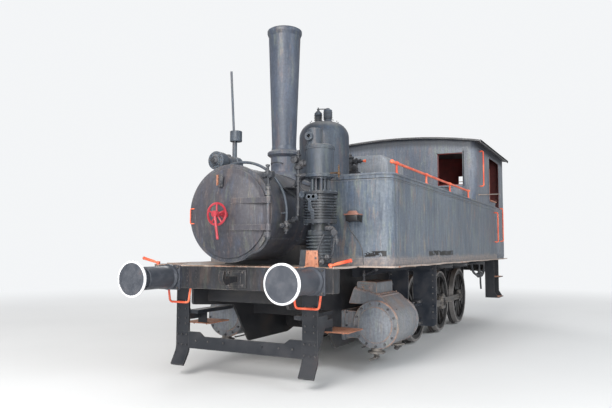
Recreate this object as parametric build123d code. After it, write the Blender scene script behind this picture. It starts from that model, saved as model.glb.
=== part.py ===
"""Side-tank steam locomotive with three coupled axles and outside cylinders.

Lengths are millimetres. +X points to the smokebox end, +Y to the left side and +Z up. The origin is
on the centre line, midway between the buffer faces, level with the lowest points of the wheel
flanges. A station is a distance behind the front buffer faces. A height is above the rail head.
"""
from build123d import *
import os
from math import asin, atan2, cos, degrees, pi, radians, sin, sqrt

# Overall sizes and the track
BUFFER_REACH = 600
BUFFER_SPREAD = 1750
BUFFER_HEIGHT = 1050
WHEEL_BACK_TO_BACK = 1360
FLANGE_DEPTH = 30

# Clearances
RUNNING_GAP = 5
PIN_GAP = 1
SEAT_GAP = 0.3

# Wheels and axles
TREAD_RADIUS = 500
TYRE_WIDTH = 135
TYRE_DEPTH = 62
RIM_DEPTH = 34
HUB_RADIUS = 112
HUB_PROUD = 12
AXLE_RADIUS = 78
SPOKES = 12
SPOKE_WIDTH = 46
LEADING_STATION = 4150
WHEELBASE = 2700

# Cranks and rods
CRANK_THROW = 250
CRANK_PIN_RADIUS = 45
COUPLING_ROD_WIDTH = 45
CONNECTING_ROD_WIDTH = 45
CONNECTING_ROD_LENGTH = 2350
ROD_DEPTH = 92
ROD_EYE_RADIUS = 82

# Frames and running plate
FRAME_OUTER = 600
FRAME_PLATE = 25
RUNNING_PLATE_HEIGHT = 1184
RUNNING_PLATE = 12
RUNNING_PLATE_HALF_WIDTH = 1480
FRONT_DECK_HALF_WIDTH = 1100
FRONT_DECK_END = 1250
BEAM_DEPTH = 250
BEAM_LENGTH = 150
BEAM_PLATE = 30

# Cylinders and motion
CYLINDER_STATION = 1900
CYLINDER_LENGTH = 750
CYLINDER_CENTRE = 1030
CYLINDER_RADIUS = 265
COVER_RADIUS = 275
COVER_THICKNESS = 28
CHEST_HEIGHT = 984
CROSSHEAD_LENGTH = 240
CROSSHEAD_WIDTH = 84
PISTON_ROD_RADIUS = 30
SLIDE_BAR_THICKNESS = 30
SLIDE_BAR_OPENING = 190
MOTION_PLATE_STATION = 3560
MOTION_PLATE = 25
MOTION_PLATE_OUTER = 1280
MOTION_PLATE_BOTTOM = 308

# Boiler
BOILER_HEIGHT = 1722
BOILER_RADIUS = 470
SMOKEBOX_STATION = 460
SMOKEBOX_LENGTH = 1560
SMOKEBOX_RADIUS = 488
SMOKEBOX_SHELL = 14
DOOR_RADIUS = 458
DOOR_OPENING_RADIUS = 428
DOOR_DISH = 66
DOOR_PLATE = 12
HINGE_Y = 488
HINGE_FORWARD = 48
HINGE_SPACING = 268
HINGE_RISE = -16
HINGE_ROD_RADIUS = 16
HANDWHEEL_RADIUS = 118
FIREBOX_STATION = 4700
FIREBOX_LENGTH = 1180
FIREBOX_HALF_WIDTH = 520
FIREBOX_BOTTOM = 760

# Boiler mountings
CHIMNEY_STATION = 1580
CHIMNEY_TOP = 4000
CHIMNEY_FLANGE_HEIGHT = 2484
CHIMNEY_TOP_RADIUS = 192
CHIMNEY_FOOT_RADIUS = 144
CHIMNEY_WALL = 12
DOME_STATION = 2680
DOME_RADIUS = 338
DOME_TOP = 3080
VALVE_TOP = 3300
SANDBOX_STATION = 3900
SANDBOX_LENGTH = 780
SANDBOX_HALF_WIDTH = 466
SANDBOX_TOP = 2790
GENERATOR_STATION = 600
GENERATOR_LENGTH = 450
GENERATOR_RADIUS = 100
GENERATOR_SIDE = -300
GENERATOR_HEIGHT = 2308

# Side tanks
TANK_STATION = 1280
RIGHT_TANK_STATION = 2040
TANK_LENGTH = 5920
TANK_INNER = 600
TANK_OUTER = 1450
TANK_TOP = 2162
TANK_CORNER = 130
TANK_RAIL_HEIGHT = 2290
TANK_RAIL_SIDE = 1405
TANK_RAIL_POSTS = (1580, 2710, 3880, 5060)
RIGHT_TANK_RAIL_POSTS = (2300, 3180, 4120, 5060)
FILLER_STATION = 4200
FILLER_SIDE = 1120
FILLER_RADIUS = 190
FILLER_HEIGHT = 100

# Cab
CAB_STATION = 5480
CAB_LENGTH = 2570
REAR_DECK = 150
CAB_HALF_WIDTH = 1440
CAB_SHEET = 12
CAB_CORNER = 120
CAB_RETURN = 160
WINDOW_INNER = 800
WINDOW_WIDTH = 436
REAR_WINDOW_INNER = 560
WINDOW_BOTTOM = 2440
WINDOW_TOP = 2990
SIDE_OPENING_STATION = 6640
SIDE_OPENING_BOTTOM = 2240
SIDE_OPENING_TOP = 3040
CAB_DOOR_STATION = 7212
CAB_DOOR_WIDTH = 420
CAB_DOOR_TOP = 2170
CAB_DOOR_THICKNESS = 30
DOOR_PIN_RADIUS = 7
DOOR_EYE_RADIUS = 13
DOOR_EYE_HALF = 38
DOOR_LEAF = 6
FLOOR_THICKNESS = 46
ROOF_EAVE = 3160
ROOF_RISE = 140
ROOF_HALF_WIDTH = 1550
ROOF_SHEET = 14
ROOF_FRONT_OVERHANG = 80
ROOF_REAR_OVERHANG = 90

# Air compressor
COMPRESSOR_STATION = 800
COMPRESSOR_SIDE = 862
COMPRESSOR_STEAM_RADIUS = 142
COMPRESSOR_FIN_RADIUS = 169
COMPRESSOR_LOWER_FIN_RADIUS = 137
COMPRESSOR_FIN_THICKNESS = 11

# Handrails
RAIL_RADIUS = 15

# Worked-out sizes
BASE = (Align.CENTER, Align.CENTER, Align.MIN)
FLANGE_RADIUS = TREAD_RADIUS + FLANGE_DEPTH
WHEEL_BACK = WHEEL_BACK_TO_BACK / 2
WHEEL_FACE = WHEEL_BACK + TYRE_WIDTH
AXLE_SPACING = WHEELBASE / 2
DRIVING_STATION = LEADING_STATION + AXLE_SPACING
TRAILING_STATION = LEADING_STATION + WHEELBASE
COUPLING_ROD_INNER = WHEEL_FACE + HUB_PROUD + 8
COUPLING_ROD_OUTER = COUPLING_ROD_INNER + COUPLING_ROD_WIDTH
CONNECTING_ROD_INNER = COUPLING_ROD_OUTER + 14
CONNECTING_ROD_OUTER = CONNECTING_ROD_INNER + CONNECTING_ROD_WIDTH
PLATE_UNDERSIDE = RUNNING_PLATE_HEIGHT - RUNNING_PLATE
TANK_REAR = TANK_STATION + TANK_LENGTH
CAB_REAR = CAB_STATION + CAB_LENGTH
REAR_BEAM_STATION = CAB_REAR + REAR_DECK
LENGTH = REAR_BEAM_STATION + BUFFER_REACH
SMOKEBOX_REAR = SMOKEBOX_STATION + SMOKEBOX_LENGTH
FIREBOX_REAR = FIREBOX_STATION + FIREBOX_LENGTH
CYLINDER_REAR = CYLINDER_STATION + CYLINDER_LENGTH
ROOF_APEX = ROOF_EAVE + ROOF_RISE
ROOF_RADIUS = (ROOF_HALF_WIDTH**2 + ROOF_RISE**2) / (2 * ROOF_RISE)
MIDSTROKE_STATION = DRIVING_STATION - CONNECTING_ROD_LENGTH


def at(station):
    """X of a point so far behind the front buffer faces."""
    return LENGTH / 2 - station


def up(height):
    """Z of a height above the rail head."""
    return FLANGE_DEPTH + height


def block(x, y, z):
    """Box between two limits on each axis."""
    low = [min(pair) for pair in (x, y, z)]
    high = [max(pair) for pair in (x, y, z)]
    size = [b - a for a, b in zip(low, high)]
    return Pos(*low) * Box(*size, align=(Align.MIN, Align.MIN, Align.MIN))


def rod(start, end, radius):
    """Round bar between two points."""
    run = Vector(*end) - Vector(*start)
    return Plane(origin=start, z_dir=run) * Cylinder(radius, run.length, align=BASE)


def turning(outline, origin, direction):
    """Solid turned about a line from the origin point, from (radius, distance) corners on it.

    A corner may carry a third value, the radius that rounds it. The first and last corners lie on
    the axis, or the outline closes on itself away from it.
    """
    curve = FilletPolyline(
        *[corner[:2] for corner in outline],
        radius=[corner[2] if len(corner) == 3 else 0 for corner in outline],
        close=True,
    )
    solid = revolve(make_face(Plane.XZ * curve), Axis.Z)
    return Plane(origin=origin, z_dir=direction) * solid


def prism(axis, outline, low, high):
    """Plate cut to an outline and reaching from low to high along an axis.

    The outline is (x, z) across Y, (y, z) across X and (x, y) across Z, with a third value where a
    corner is rounded.
    """
    curve = FilletPolyline(
        *[corner[:2] for corner in outline],
        radius=[corner[2] if len(corner) == 3 else 0 for corner in outline],
        close=True,
    )
    plane = {
        "X": Plane(origin=(low, 0, 0), x_dir=(0, 1, 0), z_dir=(1, 0, 0)),
        "Y": Plane(origin=(0, high, 0), x_dir=(1, 0, 0), z_dir=(0, -1, 0)),
        "Z": Plane(origin=(0, 0, low), x_dir=(1, 0, 0), z_dir=(0, 0, 1)),
    }[axis]
    return extrude(make_face(plane * curve), amount=high - low, dir=plane.z_dir)


def hand_ring(centre, radius, thickness):
    """Rim of a handwheel across X, of eight-sided section."""
    half, cut = thickness, thickness * 0.59
    inner = radius - 2 * half
    outline = [
        (inner + cut, -half), (radius - cut, -half), (radius, -half + cut), (radius, half - cut),
        (radius - cut, half), (inner + cut, half), (inner, half - cut), (inner, -half + cut),
    ]
    return turning(outline, centre, (1, 0, 0))


def bent_bar(points, bend, radius):
    """Round bar that runs through the points with bends of one radius."""
    bends = bend if isinstance(bend, (list, tuple)) else [bend] * (len(points) - 2)
    path = FilletPolyline(*points, radius=bends)
    section = Plane(origin=path @ 0, z_dir=path % 0) * Circle(radius)
    return sweep(section, path)


GRAB_RAIL_REACH = 60
GRAB_RAILS = (
    # name, station, lower height, upper height, distance from the centre line
    ("cab_corner_rail", CAB_STATION + 360, 2440, 3040, CAB_HALF_WIDTH),
    ("tank_end_rail", TANK_REAR - 140, 1500, 2050, TANK_OUTER),
    ("cab_rear_rail", CAB_DOOR_STATION + CAB_DOOR_WIDTH + 40, 1520, 2165, CAB_HALF_WIDTH),
)


def both_sides(solids):
    """The solids and their reflections in the centre plane."""
    return list(solids) + [mirror(solid, about=Plane.XZ) for solid in solids]


# Frames, beams and running plate


def frame_outline():
    """Side outline of a main frame plate, with a gap for each axle box."""
    horn = AXLE_BOX_LENGTH / 2 + 2
    top = PLATE_UNDERSIDE
    corners = [
        (at(BUFFER_REACH + BEAM_PLATE), up(top)),
        (at(BUFFER_REACH + BEAM_PLATE), up(760), 40),
        (at(CYLINDER_STATION - 500), up(700), 60),
        (at(CYLINDER_STATION - 160), up(230), 60),
        (at(CYLINDER_REAR + 60), up(230), 60),
        (at(MOTION_PLATE_STATION - 160), up(400), 60),
    ]
    for station in (LEADING_STATION, DRIVING_STATION, TRAILING_STATION):
        corners += [
            (at(station - horn), up(400)),
            (at(station - horn), up(TREAD_RADIUS + HORN_TOP), 30),
            (at(station + horn), up(TREAD_RADIUS + HORN_TOP), 30),
            (at(station + horn), up(400)),
        ]
    corners += [
        (at(TRAILING_STATION + 420), up(400), 60),
        (at(TRAILING_STATION + 560), up(720), 60),
        (at(REAR_BEAM_STATION - BEAM_PLATE), up(720)),
        (at(REAR_BEAM_STATION - BEAM_PLATE), up(top)),
    ]
    return corners


AXLE_BOX_LENGTH = 230
AXLE_BOX_HEIGHT = 250
HORN_TOP = 165


def main_frames():
    """Two frame plates and the stretchers between them."""
    inner = FRAME_OUTER - FRAME_PLATE
    plate = prism("Y", frame_outline(), inner, FRAME_OUTER)
    frames = both_sides([plate])
    inner -= SEAT_GAP
    stretchers = (
        # station, lower height, upper height
        (900, 780, 1120),
        (CYLINDER_STATION - 60, 560, 1120),
        (CYLINDER_REAR + 40, 300, 1120),
        (MOTION_PLATE_STATION, 480, 1120),
        (FIREBOX_REAR + 260, 480, 1120),
        (TRAILING_STATION + 700, 740, 1120),
    )
    for station, low, high in stretchers:
        frames.append(block((at(station), at(station + 20)), (-inner, inner), (up(low), up(high))))
    return frames


def buffer_beam(front):
    """Channel across one end of the frames, open towards the middle of the locomotive."""
    face = at(BUFFER_REACH) if front else at(REAR_BEAM_STATION)
    inward = -1 if front else 1
    low, high = up(RUNNING_PLATE_HEIGHT - BEAM_DEPTH), up(PLATE_UNDERSIDE)
    half = FRONT_DECK_HALF_WIDTH
    beam = block((face, face + inward * BEAM_PLATE), (-half, half), (low, high))
    web_end = face + inward * BEAM_LENGTH
    for side in (-1, 1):
        outer = side * half
        inner = side * (FRAME_OUTER + SEAT_GAP)
        for z in ((low, low + 14), (high - 14, high)):
            beam += block((face, web_end), (inner, outer), z)
        beam += block((face, web_end), (outer - side * 14, outer), (low, high))
    hook_hole = block((face - 100, face + 100), (-34, 34), (up(BUFFER_HEIGHT) - 50, up(BUFFER_HEIGHT) + 50))
    return [beam - hook_hole]


HOUSING_LENGTH = 430
HOUSING_RADIUS = 121
PLUNGER_RADIUS = 96
BUFFER_HEAD_RADIUS = 186
BUFFER_HEAD_THICKNESS = 26
BUFFER_BASE = 300


def buffer_housings():
    """Base plate and plain round housing of each of the four buffers."""
    solids = []
    for end in (1, -1):
        face = end * (LENGTH / 2 - BUFFER_REACH)
        for side in (1, -1):
            y = side * BUFFER_SPREAD / 2
            z = up(BUFFER_HEIGHT)
            half = BUFFER_BASE / 2
            base = prism(
                "X",
                [(y - half, z - half + 14, 16), (y + half, z - half + 14, 16),
                 (y + half, z + half - 20, 16), (y - half, z + half - 20, 16)],
                min(face, face + end * 22),
                max(face, face + end * 22),
            )
            barrel = turning(
                [(0, 0), (HOUSING_RADIUS + 18, 0), (HOUSING_RADIUS + 18, 36, 8), (HOUSING_RADIUS, 60, 20),
                 (HOUSING_RADIUS, HOUSING_LENGTH, 8), (PLUNGER_RADIUS + 1, HOUSING_LENGTH),
                 (PLUNGER_RADIUS + 1, 200), (0, 200)],
                (face + end * 10, y, z),
                (end, 0, 0),
            )
            solids.append(base + barrel)
    return solids


def buffer_heads():
    """Round, slightly crowned head on the plunger of each buffer."""
    solids = []
    for end in (1, -1):
        for side in (1, -1):
            plunger_length = LENGTH / 2 - (LENGTH / 2 - BUFFER_REACH) - 10 - 200 - SEAT_GAP
            solids.append(turning(
                [(0, 0), (BUFFER_HEAD_RADIUS - 60, 0), (BUFFER_HEAD_RADIUS, 6, 4),
                 (BUFFER_HEAD_RADIUS, BUFFER_HEAD_THICKNESS, 6), (PLUNGER_RADIUS + 20, BUFFER_HEAD_THICKNESS + 14, 8),
                 (PLUNGER_RADIUS, BUFFER_HEAD_THICKNESS + 40, 8), (PLUNGER_RADIUS, plunger_length),
                 (0, plunger_length)],
                (end * LENGTH / 2, side * BUFFER_SPREAD / 2, up(BUFFER_HEIGHT)),
                (-end, 0, 0),
            ))
    return solids


def draw_hooks():
    """Draw hook with its shank through each buffer beam."""
    solids = []
    for end in (1, -1):
        face = LENGTH / 2 - BUFFER_REACH
        z = up(BUFFER_HEIGHT)
        hook = prism(
            "Y",
            [(face + 10, z - 30), (face + 150, z - 42, 20), (face + 235, z - 60, 60), (face + 290, z + 10, 50),
             (face + 262, z + 92, 20), (face + 222, z + 86, 12), (face + 236, z + 20, 30),
             (face + 196, z + 2, 24), (face + 160, z + 34, 20), (face + 10, z + 30)],
            -26,
            26,
        )
        shank = block((face - BEAM_PLATE - 60, face + 20), (-24, 24), (z - 26, z + 26))
        collar = block((face + SEAT_GAP, face + 18), (-60, 60), (z - 70, z + 70))
        nut = turning([(0, 0), (52, 0), (52, 40), (0, 40)], (face - BEAM_PLATE - SEAT_GAP, 0, z), (-1, 0, 0))
        solid = hook + shank + collar + nut
        solids.append(solid if end == 1 else mirror(solid, about=Plane.YZ))
    return solids


def running_plate():
    """Plate along both sides, narrow at the front deck and open under the boiler."""
    front, rear = at(BUFFER_REACH), at(REAR_BEAM_STATION)
    step = at(FRONT_DECK_END)
    half, deck = RUNNING_PLATE_HALF_WIDTH, FRONT_DECK_HALF_WIDTH
    outline = [
        (front, -deck, 40), (front, deck, 40), (step, deck), (step, half, 60),
        (rear, half, 40), (rear, -half, 40), (step, -half, 60), (step, -deck),
    ]
    plate = prism("Z", outline, up(PLATE_UNDERSIDE), up(RUNNING_PLATE_HEIGHT))
    hole_half = FRAME_OUTER - FRAME_PLATE - 15
    plate -= block(
        (at(SMOKEBOX_REAR), at(FIREBOX_REAR + 40)),
        (-hole_half, hole_half),
        (up(PLATE_UNDERSIDE - 10), up(RUNNING_PLATE_HEIGHT + 10)),
    )
    return [plate]


def tank_brackets():
    """Cantilevers from the frames out under the running plate, deepest at the frame."""
    solids = []
    for station in (2230, 4880, 6140, 7480):
        bracket = prism(
            "X",
            [(FRAME_OUTER + SEAT_GAP, up(PLATE_UNDERSIDE - SEAT_GAP)), (FRAME_OUTER + SEAT_GAP, up(1020)),
             (FRAME_OUTER + 60, up(1016)), (1400, up(1146)), (1400, up(PLATE_UNDERSIDE - SEAT_GAP))],
            at(station + 12),
            at(station),
        )
        solids.append(bracket)
    return both_sides(solids)


def rail_guards():
    """Upright guard bar ahead of each leading wheel, curved forward at its toe."""
    station = GUARD_STATION
    guard = prism(
        "Y",
        [(at(station), up(BEAM_BOTTOM - SEAT_GAP)), (at(station), up(260), 160), (at(station - 90), up(110)),
         (at(station - 70), up(94)), (at(station + 26), up(240), 150),
         (at(station + 26), up(BEAM_BOTTOM - SEAT_GAP))],
        705,
        875,
    )
    gusset = prism(
        "Y",
        [(at(station + 20), up(690), 10), (at(station + 20), up(330), 10), (at(station + 260), up(690), 30)],
        860,
        875,
    )
    foot = block((at(station + 26), at(station + 700)), (FRAME_OUTER + SEAT_GAP, 720), (up(650), up(690)))
    return both_sides([guard + gusset + foot])


BEAM_BOTTOM = RUNNING_PLATE_HEIGHT - BEAM_DEPTH
GUARD_STATION = 720


def guard_cross_plate():
    """Low plate across the front, on the backs of the two guards."""
    half = 850
    plate = prism(
        "X",
        [(-half, up(275)), (half, up(275)), (half, up(455)), (560, up(455), 20), (500, up(410), 20),
         (-500, up(410), 20), (-560, up(455), 20), (-half, up(455))],
        at(GUARD_STATION + 20) - SEAT_GAP,
        at(GUARD_STATION) - SEAT_GAP,
    )
    return [plate]


def front_steps():
    """Footstep ahead of each cylinder, on an arm from the guard."""
    tread = block((at(1090), at(1480)), (700, 1040), (up(494), up(504)))
    hanger = block((at(1090), at(1102)), (740, 860), (up(504), up(640)))
    arm = block((at(800), at(1102)), (840, 860 - SEAT_GAP), (up(560), up(640)))
    return both_sides([tread + hanger + arm])


def rear_steps():
    """Two treads below each cab door, on a pair of hangers."""
    low, high = 7180, 7660
    solid = block((at(low), at(high)), (1230, 1480), (up(830), up(842)))
    solid += block((at(low), at(high)), (1230, 1480), (up(450), up(462)))
    for station in (low, high - 12):
        solid += prism(
            "X",
            [(1230, up(PLATE_UNDERSIDE - SEAT_GAP)), (1230, up(450)), (1470, up(450), 20), (1400, up(560), 30),
             (1400, up(PLATE_UNDERSIDE - SEAT_GAP))],
            at(station + 12),
            at(station),
        )
    return both_sides([solid])


# Axles, boxes, springs and brakes


def axle_boxes():
    """Box round each axle journal, held in its gap in the frame plate."""
    solids = []
    for station in (LEADING_STATION, DRIVING_STATION, TRAILING_STATION):
        centre = (at(station), 0, up(TREAD_RADIUS))
        half_x, half_z = AXLE_BOX_LENGTH / 2, AXLE_BOX_HEIGHT / 2
        inner, outer = FRAME_OUTER - FRAME_PLATE, FRAME_OUTER
        x, z = centre[0], centre[2]
        box = block((x - half_x, x + half_x), (inner - 60, outer + 40), (z - half_z, z + half_z))
        for y in ((inner - 60, inner - SEAT_GAP), (outer + SEAT_GAP, outer + 40)):
            box += block((x - half_x - 30, x + half_x + 30), y, (z - half_z, z + half_z))
        journal = rod((x, inner - 100, z), (x, outer + 100, z), AXLE_RADIUS + PIN_GAP)
        solids.append(box - journal)
    return both_sides(solids)


SPRING_LEAVES = 7
SPRING_LEAF = 11
SPRING_HALF_SPAN = 430


def springs():
    """Leaf spring above each axle box, its buckle on a pillar and its ends on hangers."""
    solids = []
    middle = FRAME_OUTER + 24
    for station in (LEADING_STATION, DRIVING_STATION, TRAILING_STATION):
        x = at(station)
        seat = up(TREAD_RADIUS) + AXLE_BOX_HEIGHT / 2 + SEAT_GAP
        base = seat + 120
        stack = block((x - 34, x + 34), (middle - 22, middle + 22), (base - 14, base + SPRING_LEAVES * SPRING_LEAF + 12))
        stack += rod((x, middle, seat), (x, middle, base), 16)
        for leaf in range(SPRING_LEAVES):
            half = SPRING_HALF_SPAN * (1 - 0.12 * leaf)
            z = base + (SPRING_LEAVES - 1 - leaf) * SPRING_LEAF
            sag = 34 * (half / SPRING_HALF_SPAN) ** 2
            outline = [
                (x - half, z - sag), (x, z), (x + half, z - sag),
                (x + half, z - sag + SPRING_LEAF), (x, z + SPRING_LEAF, 3000), (x - half, z - sag + SPRING_LEAF),
            ]
            outline[1] = (x, z, 3000)
            stack += prism("Y", outline, middle - 20, middle + 20)
        for end in (-1, 1):
            tip = x + end * (SPRING_HALF_SPAN - 12)
            z = base + (SPRING_LEAVES - 1) * SPRING_LEAF - 34
            stack += rod((tip, middle, z), (tip, middle, up(PLATE_UNDERSIDE - SEAT_GAP)), 11)
        solids.append(stack)
    return both_sides(solids)


BRAKE_GAP = 6


def brake_gear():
    """Block and hanger behind each wheel, with a beam across each pair."""
    solids = []
    middle = WHEEL_BACK + TYRE_WIDTH / 2
    for station in (LEADING_STATION, DRIVING_STATION, TRAILING_STATION):
        x, z = at(station), up(TREAD_RADIUS)
        ring = turning(
            [(TREAD_RADIUS + BRAKE_GAP, 0), (TREAD_RADIUS + BRAKE_GAP + 55, 0),
             (TREAD_RADIUS + BRAKE_GAP + 55, 76), (TREAD_RADIUS + BRAKE_GAP, 76)],
            (x, WHEEL_BACK + 46, z),
            (0, 1, 0),
        )
        wedge = block((x - TREAD_RADIUS - 90, x - TREAD_RADIUS + 60), (middle - 60, middle + 60), (z - 215, z + 60))
        shoe = ring & wedge
        hanger_x = x - TREAD_RADIUS - BRAKE_GAP - 58
        hanger = block((hanger_x - 26, hanger_x + 6), (middle - 16, middle + 16), (z - 150, up(1060)))
        bracket = block((hanger_x - 30, hanger_x + 10), (FRAME_OUTER + SEAT_GAP, middle + 20), (up(1040), up(1075)))
        piece = shoe + hanger + bracket
        beam = rod((hanger_x - 10, -middle, z - 130), (hanger_x - 10, middle, z - 130), 22)
        solids.append(piece + mirror(piece, about=Plane.XZ) + beam)
    return solids


def wheel_blank():
    """Tyre, rim, spokes and hub about the Y axis, with the back face at y 0."""
    rim_inner = TREAD_RADIUS - TYRE_DEPTH - RIM_DEPTH
    tyre = turning(
        [(rim_inner, 0), (FLANGE_RADIUS - 8, 0), (FLANGE_RADIUS, 10, 6), (FLANGE_RADIUS, 22, 6),
         (TREAD_RADIUS + 2, 36, 8), (TREAD_RADIUS - 4, TYRE_WIDTH, 4), (TREAD_RADIUS - TYRE_DEPTH, TYRE_WIDTH),
         (TREAD_RADIUS - TYRE_DEPTH, TYRE_WIDTH - 8), (rim_inner, TYRE_WIDTH - 8)],
        (0, 0, 0),
        (0, 1, 0),
    )
    hub = turning(
        [(AXLE_RADIUS + SEAT_GAP, -8), (HUB_RADIUS, -8), (HUB_RADIUS, TYRE_WIDTH + HUB_PROUD, 10),
         (AXLE_RADIUS + SEAT_GAP, TYRE_WIDTH + HUB_PROUD)],
        (0, 0, 0),
        (0, 1, 0),
    )
    spoke = prism(
        "Y",
        [(HUB_RADIUS - 10, -SPOKE_WIDTH / 2 - 4), (rim_inner + 6, -SPOKE_WIDTH / 2 + 4),
         (rim_inner + 6, SPOKE_WIDTH / 2 - 4), (HUB_RADIUS - 10, SPOKE_WIDTH / 2 + 4)],
        38,
        98,
    )
    spokes = [Rot(0, -360 / SPOKES * (index + 0.5), 0) * spoke for index in range(SPOKES)]
    return tyre + [hub] + spokes


def wheel(blank, crank_angle, driving):
    """Blank with its crank boss, balance weight and crank pin, the pin at an angle from +X."""
    rim_inner = TREAD_RADIUS - TYRE_DEPTH - RIM_DEPTH
    face = TYRE_WIDTH + HUB_PROUD
    web = prism(
        "Y", [(90, -92), (CRANK_THROW, -80), (CRANK_THROW, 80), (90, 92)], 34, TYRE_WIDTH + 4,
    )
    boss = rod((CRANK_THROW, 30, 0), (CRANK_THROW, face, 0), 88)
    rod_face = CONNECTING_ROD_OUTER if driving else COUPLING_ROD_OUTER
    pin_end = rod_face + 3 - WHEEL_BACK
    collar = 16 if driving else 4
    pin = rod((CRANK_THROW, 60 + SEAT_GAP, 0), (CRANK_THROW, pin_end, 0), CRANK_PIN_RADIUS)
    hole = rod((CRANK_THROW, 60, 0), (CRANK_THROW, face + 10, 0), CRANK_PIN_RADIUS + SEAT_GAP)
    pin_cap = rod((CRANK_THROW, pin_end, 0), (CRANK_THROW, pin_end + collar, 0), CRANK_PIN_RADIUS + 12)
    half_angle = 52 if driving else 34
    ring = turning(
        [(rim_inner - 120, 30), (rim_inner + 8, 30), (rim_inner + 8, 112), (rim_inner - 120, 112)],
        (0, 0, 0),
        (0, 1, 0),
    )
    reach = 2 * TREAD_RADIUS
    spread = reach * sin(radians(half_angle))
    wedge = prism("Y", [(0, 0), (-reach * cos(radians(half_angle)), -spread), (-reach, -spread), (-reach, spread),
                        (-reach * cos(radians(half_angle)), spread)], 20, 120)
    turn = Rot(0, -crank_angle, 0)
    crank = turn * (web + [boss, ring & wedge])
    body = blank + crank - rod((0, 0, 0), (0, face + 10, 0), AXLE_RADIUS + SEAT_GAP) - turn * hole
    return [body, turn * (pin + pin_cap)]


LEFT_CRANK = 0
RIGHT_CRANK = 270


def wheels(station, driving):
    """The two wheels of an axle, the right-hand crank a quarter turn from the left-hand one."""
    blank = wheel_blank()
    centre = Pos(at(station), 0, up(TREAD_RADIUS))
    left = [centre * Pos(0, WHEEL_BACK, 0) * solid for solid in wheel(blank, LEFT_CRANK, driving)]
    right = [Pos(0, WHEEL_BACK, 0) * solid for solid in wheel(blank, RIGHT_CRANK, driving)]
    return left + [centre * mirror(solid, about=Plane.XZ) for solid in right]


def axle(station):
    """Axle through both wheels, its ends just proud of the hubs."""
    end = WHEEL_FACE + HUB_PROUD + 5
    x, z = at(station), up(TREAD_RADIUS)
    return [rod((x, -end, z), (x, end, z), AXLE_RADIUS)]


def crank_pin(station, angle):
    """X and Z of a crank pin at rest."""
    x = at(station) + CRANK_THROW * cos(radians(angle))
    z = up(TREAD_RADIUS) + CRANK_THROW * sin(radians(angle))
    return x, z


def coupling_rod(side, angle):
    """Fluted bar that joins the three crank pins of one side."""
    y0, y1 = COUPLING_ROD_INNER, COUPLING_ROD_OUTER
    pins = [crank_pin(station, angle) for station in (LEADING_STATION, DRIVING_STATION, TRAILING_STATION)]
    (first_x, z), (_, _), (last_x, _) = pins
    bar = block((first_x, last_x), (y0 + 5, y1 - 5), (z - ROD_DEPTH / 2, z + ROD_DEPTH / 2))
    flute_depth = 9
    for (xa, _), (xb, _) in zip(pins[:-1], pins[1:]):
        flute = block((xa - 130, xb + 130), (y1 - 5 - flute_depth, y1 + 10), (z - 24, z + 24))
        bar -= flute
    for x, _ in pins:
        bar += rod((x, y0, z), (x, y1, z), ROD_EYE_RADIUS)
        bar += prism("Y", [(x - 34, z + 60), (x + 34, z + 60), (x + 26, z + 112, 8), (x - 26, z + 112, 8)], y0 + 8, y1 - 8)
    for x, _ in pins:
        bar -= rod((x, y0 - 10, z), (x, y1 + 10, z), CRANK_PIN_RADIUS + PIN_GAP)
    return [bar if side == 1 else mirror(bar, about=Plane.XZ)]


def crosshead_x(angle):
    """X of the crosshead pin for a crank angle, with the rod from the driving crank pin."""
    x, z = crank_pin(DRIVING_STATION, angle)
    rise = z - up(TREAD_RADIUS)
    return x + sqrt(CONNECTING_ROD_LENGTH**2 - rise**2)


def connecting_rod(side, angle):
    """Rod from the driving crank pin forward to the crosshead, with a big end and a small end."""
    y0, y1 = CONNECTING_ROD_INNER, CONNECTING_ROD_OUTER
    length = CONNECTING_ROD_LENGTH
    bar = prism(
        "Y",
        [(0, -ROD_DEPTH / 2 - 6), (length, -ROD_DEPTH / 2 + 8), (length, ROD_DEPTH / 2 - 8), (0, ROD_DEPTH / 2 + 6)],
        y0 + 5,
        y1 - 5,
    )
    bar -= block((190, length - 150), (y1 - 14, y1 + 10), (-22, 22))
    bar += prism(
        "Y",
        [(-110, -104, 30), (120, -104, 20), (150, -60, 20), (150, 60, 20), (120, 104, 20), (-110, 104, 30)],
        y0,
        y1,
    )
    bar += turning([(0, 0), (66, 0), (66, y1 - y0), (0, y1 - y0)], (length, y0, 0), (0, 1, 0))
    bar += rod((length, y1, 0), (length, y1 + 14, 0), 34)
    bar -= rod((0, y0 - 10, 0), (0, y1 + 10, 0), CRANK_PIN_RADIUS + PIN_GAP)
    x, z = crank_pin(DRIVING_STATION, angle)
    tilt = degrees(atan2(up(TREAD_RADIUS) - z, crosshead_x(angle) - x))
    bar = Pos(x, 0, z) * Rot(0, -tilt, 0) * bar
    return [bar if side == 1 else mirror(bar, about=Plane.XZ)]


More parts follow.
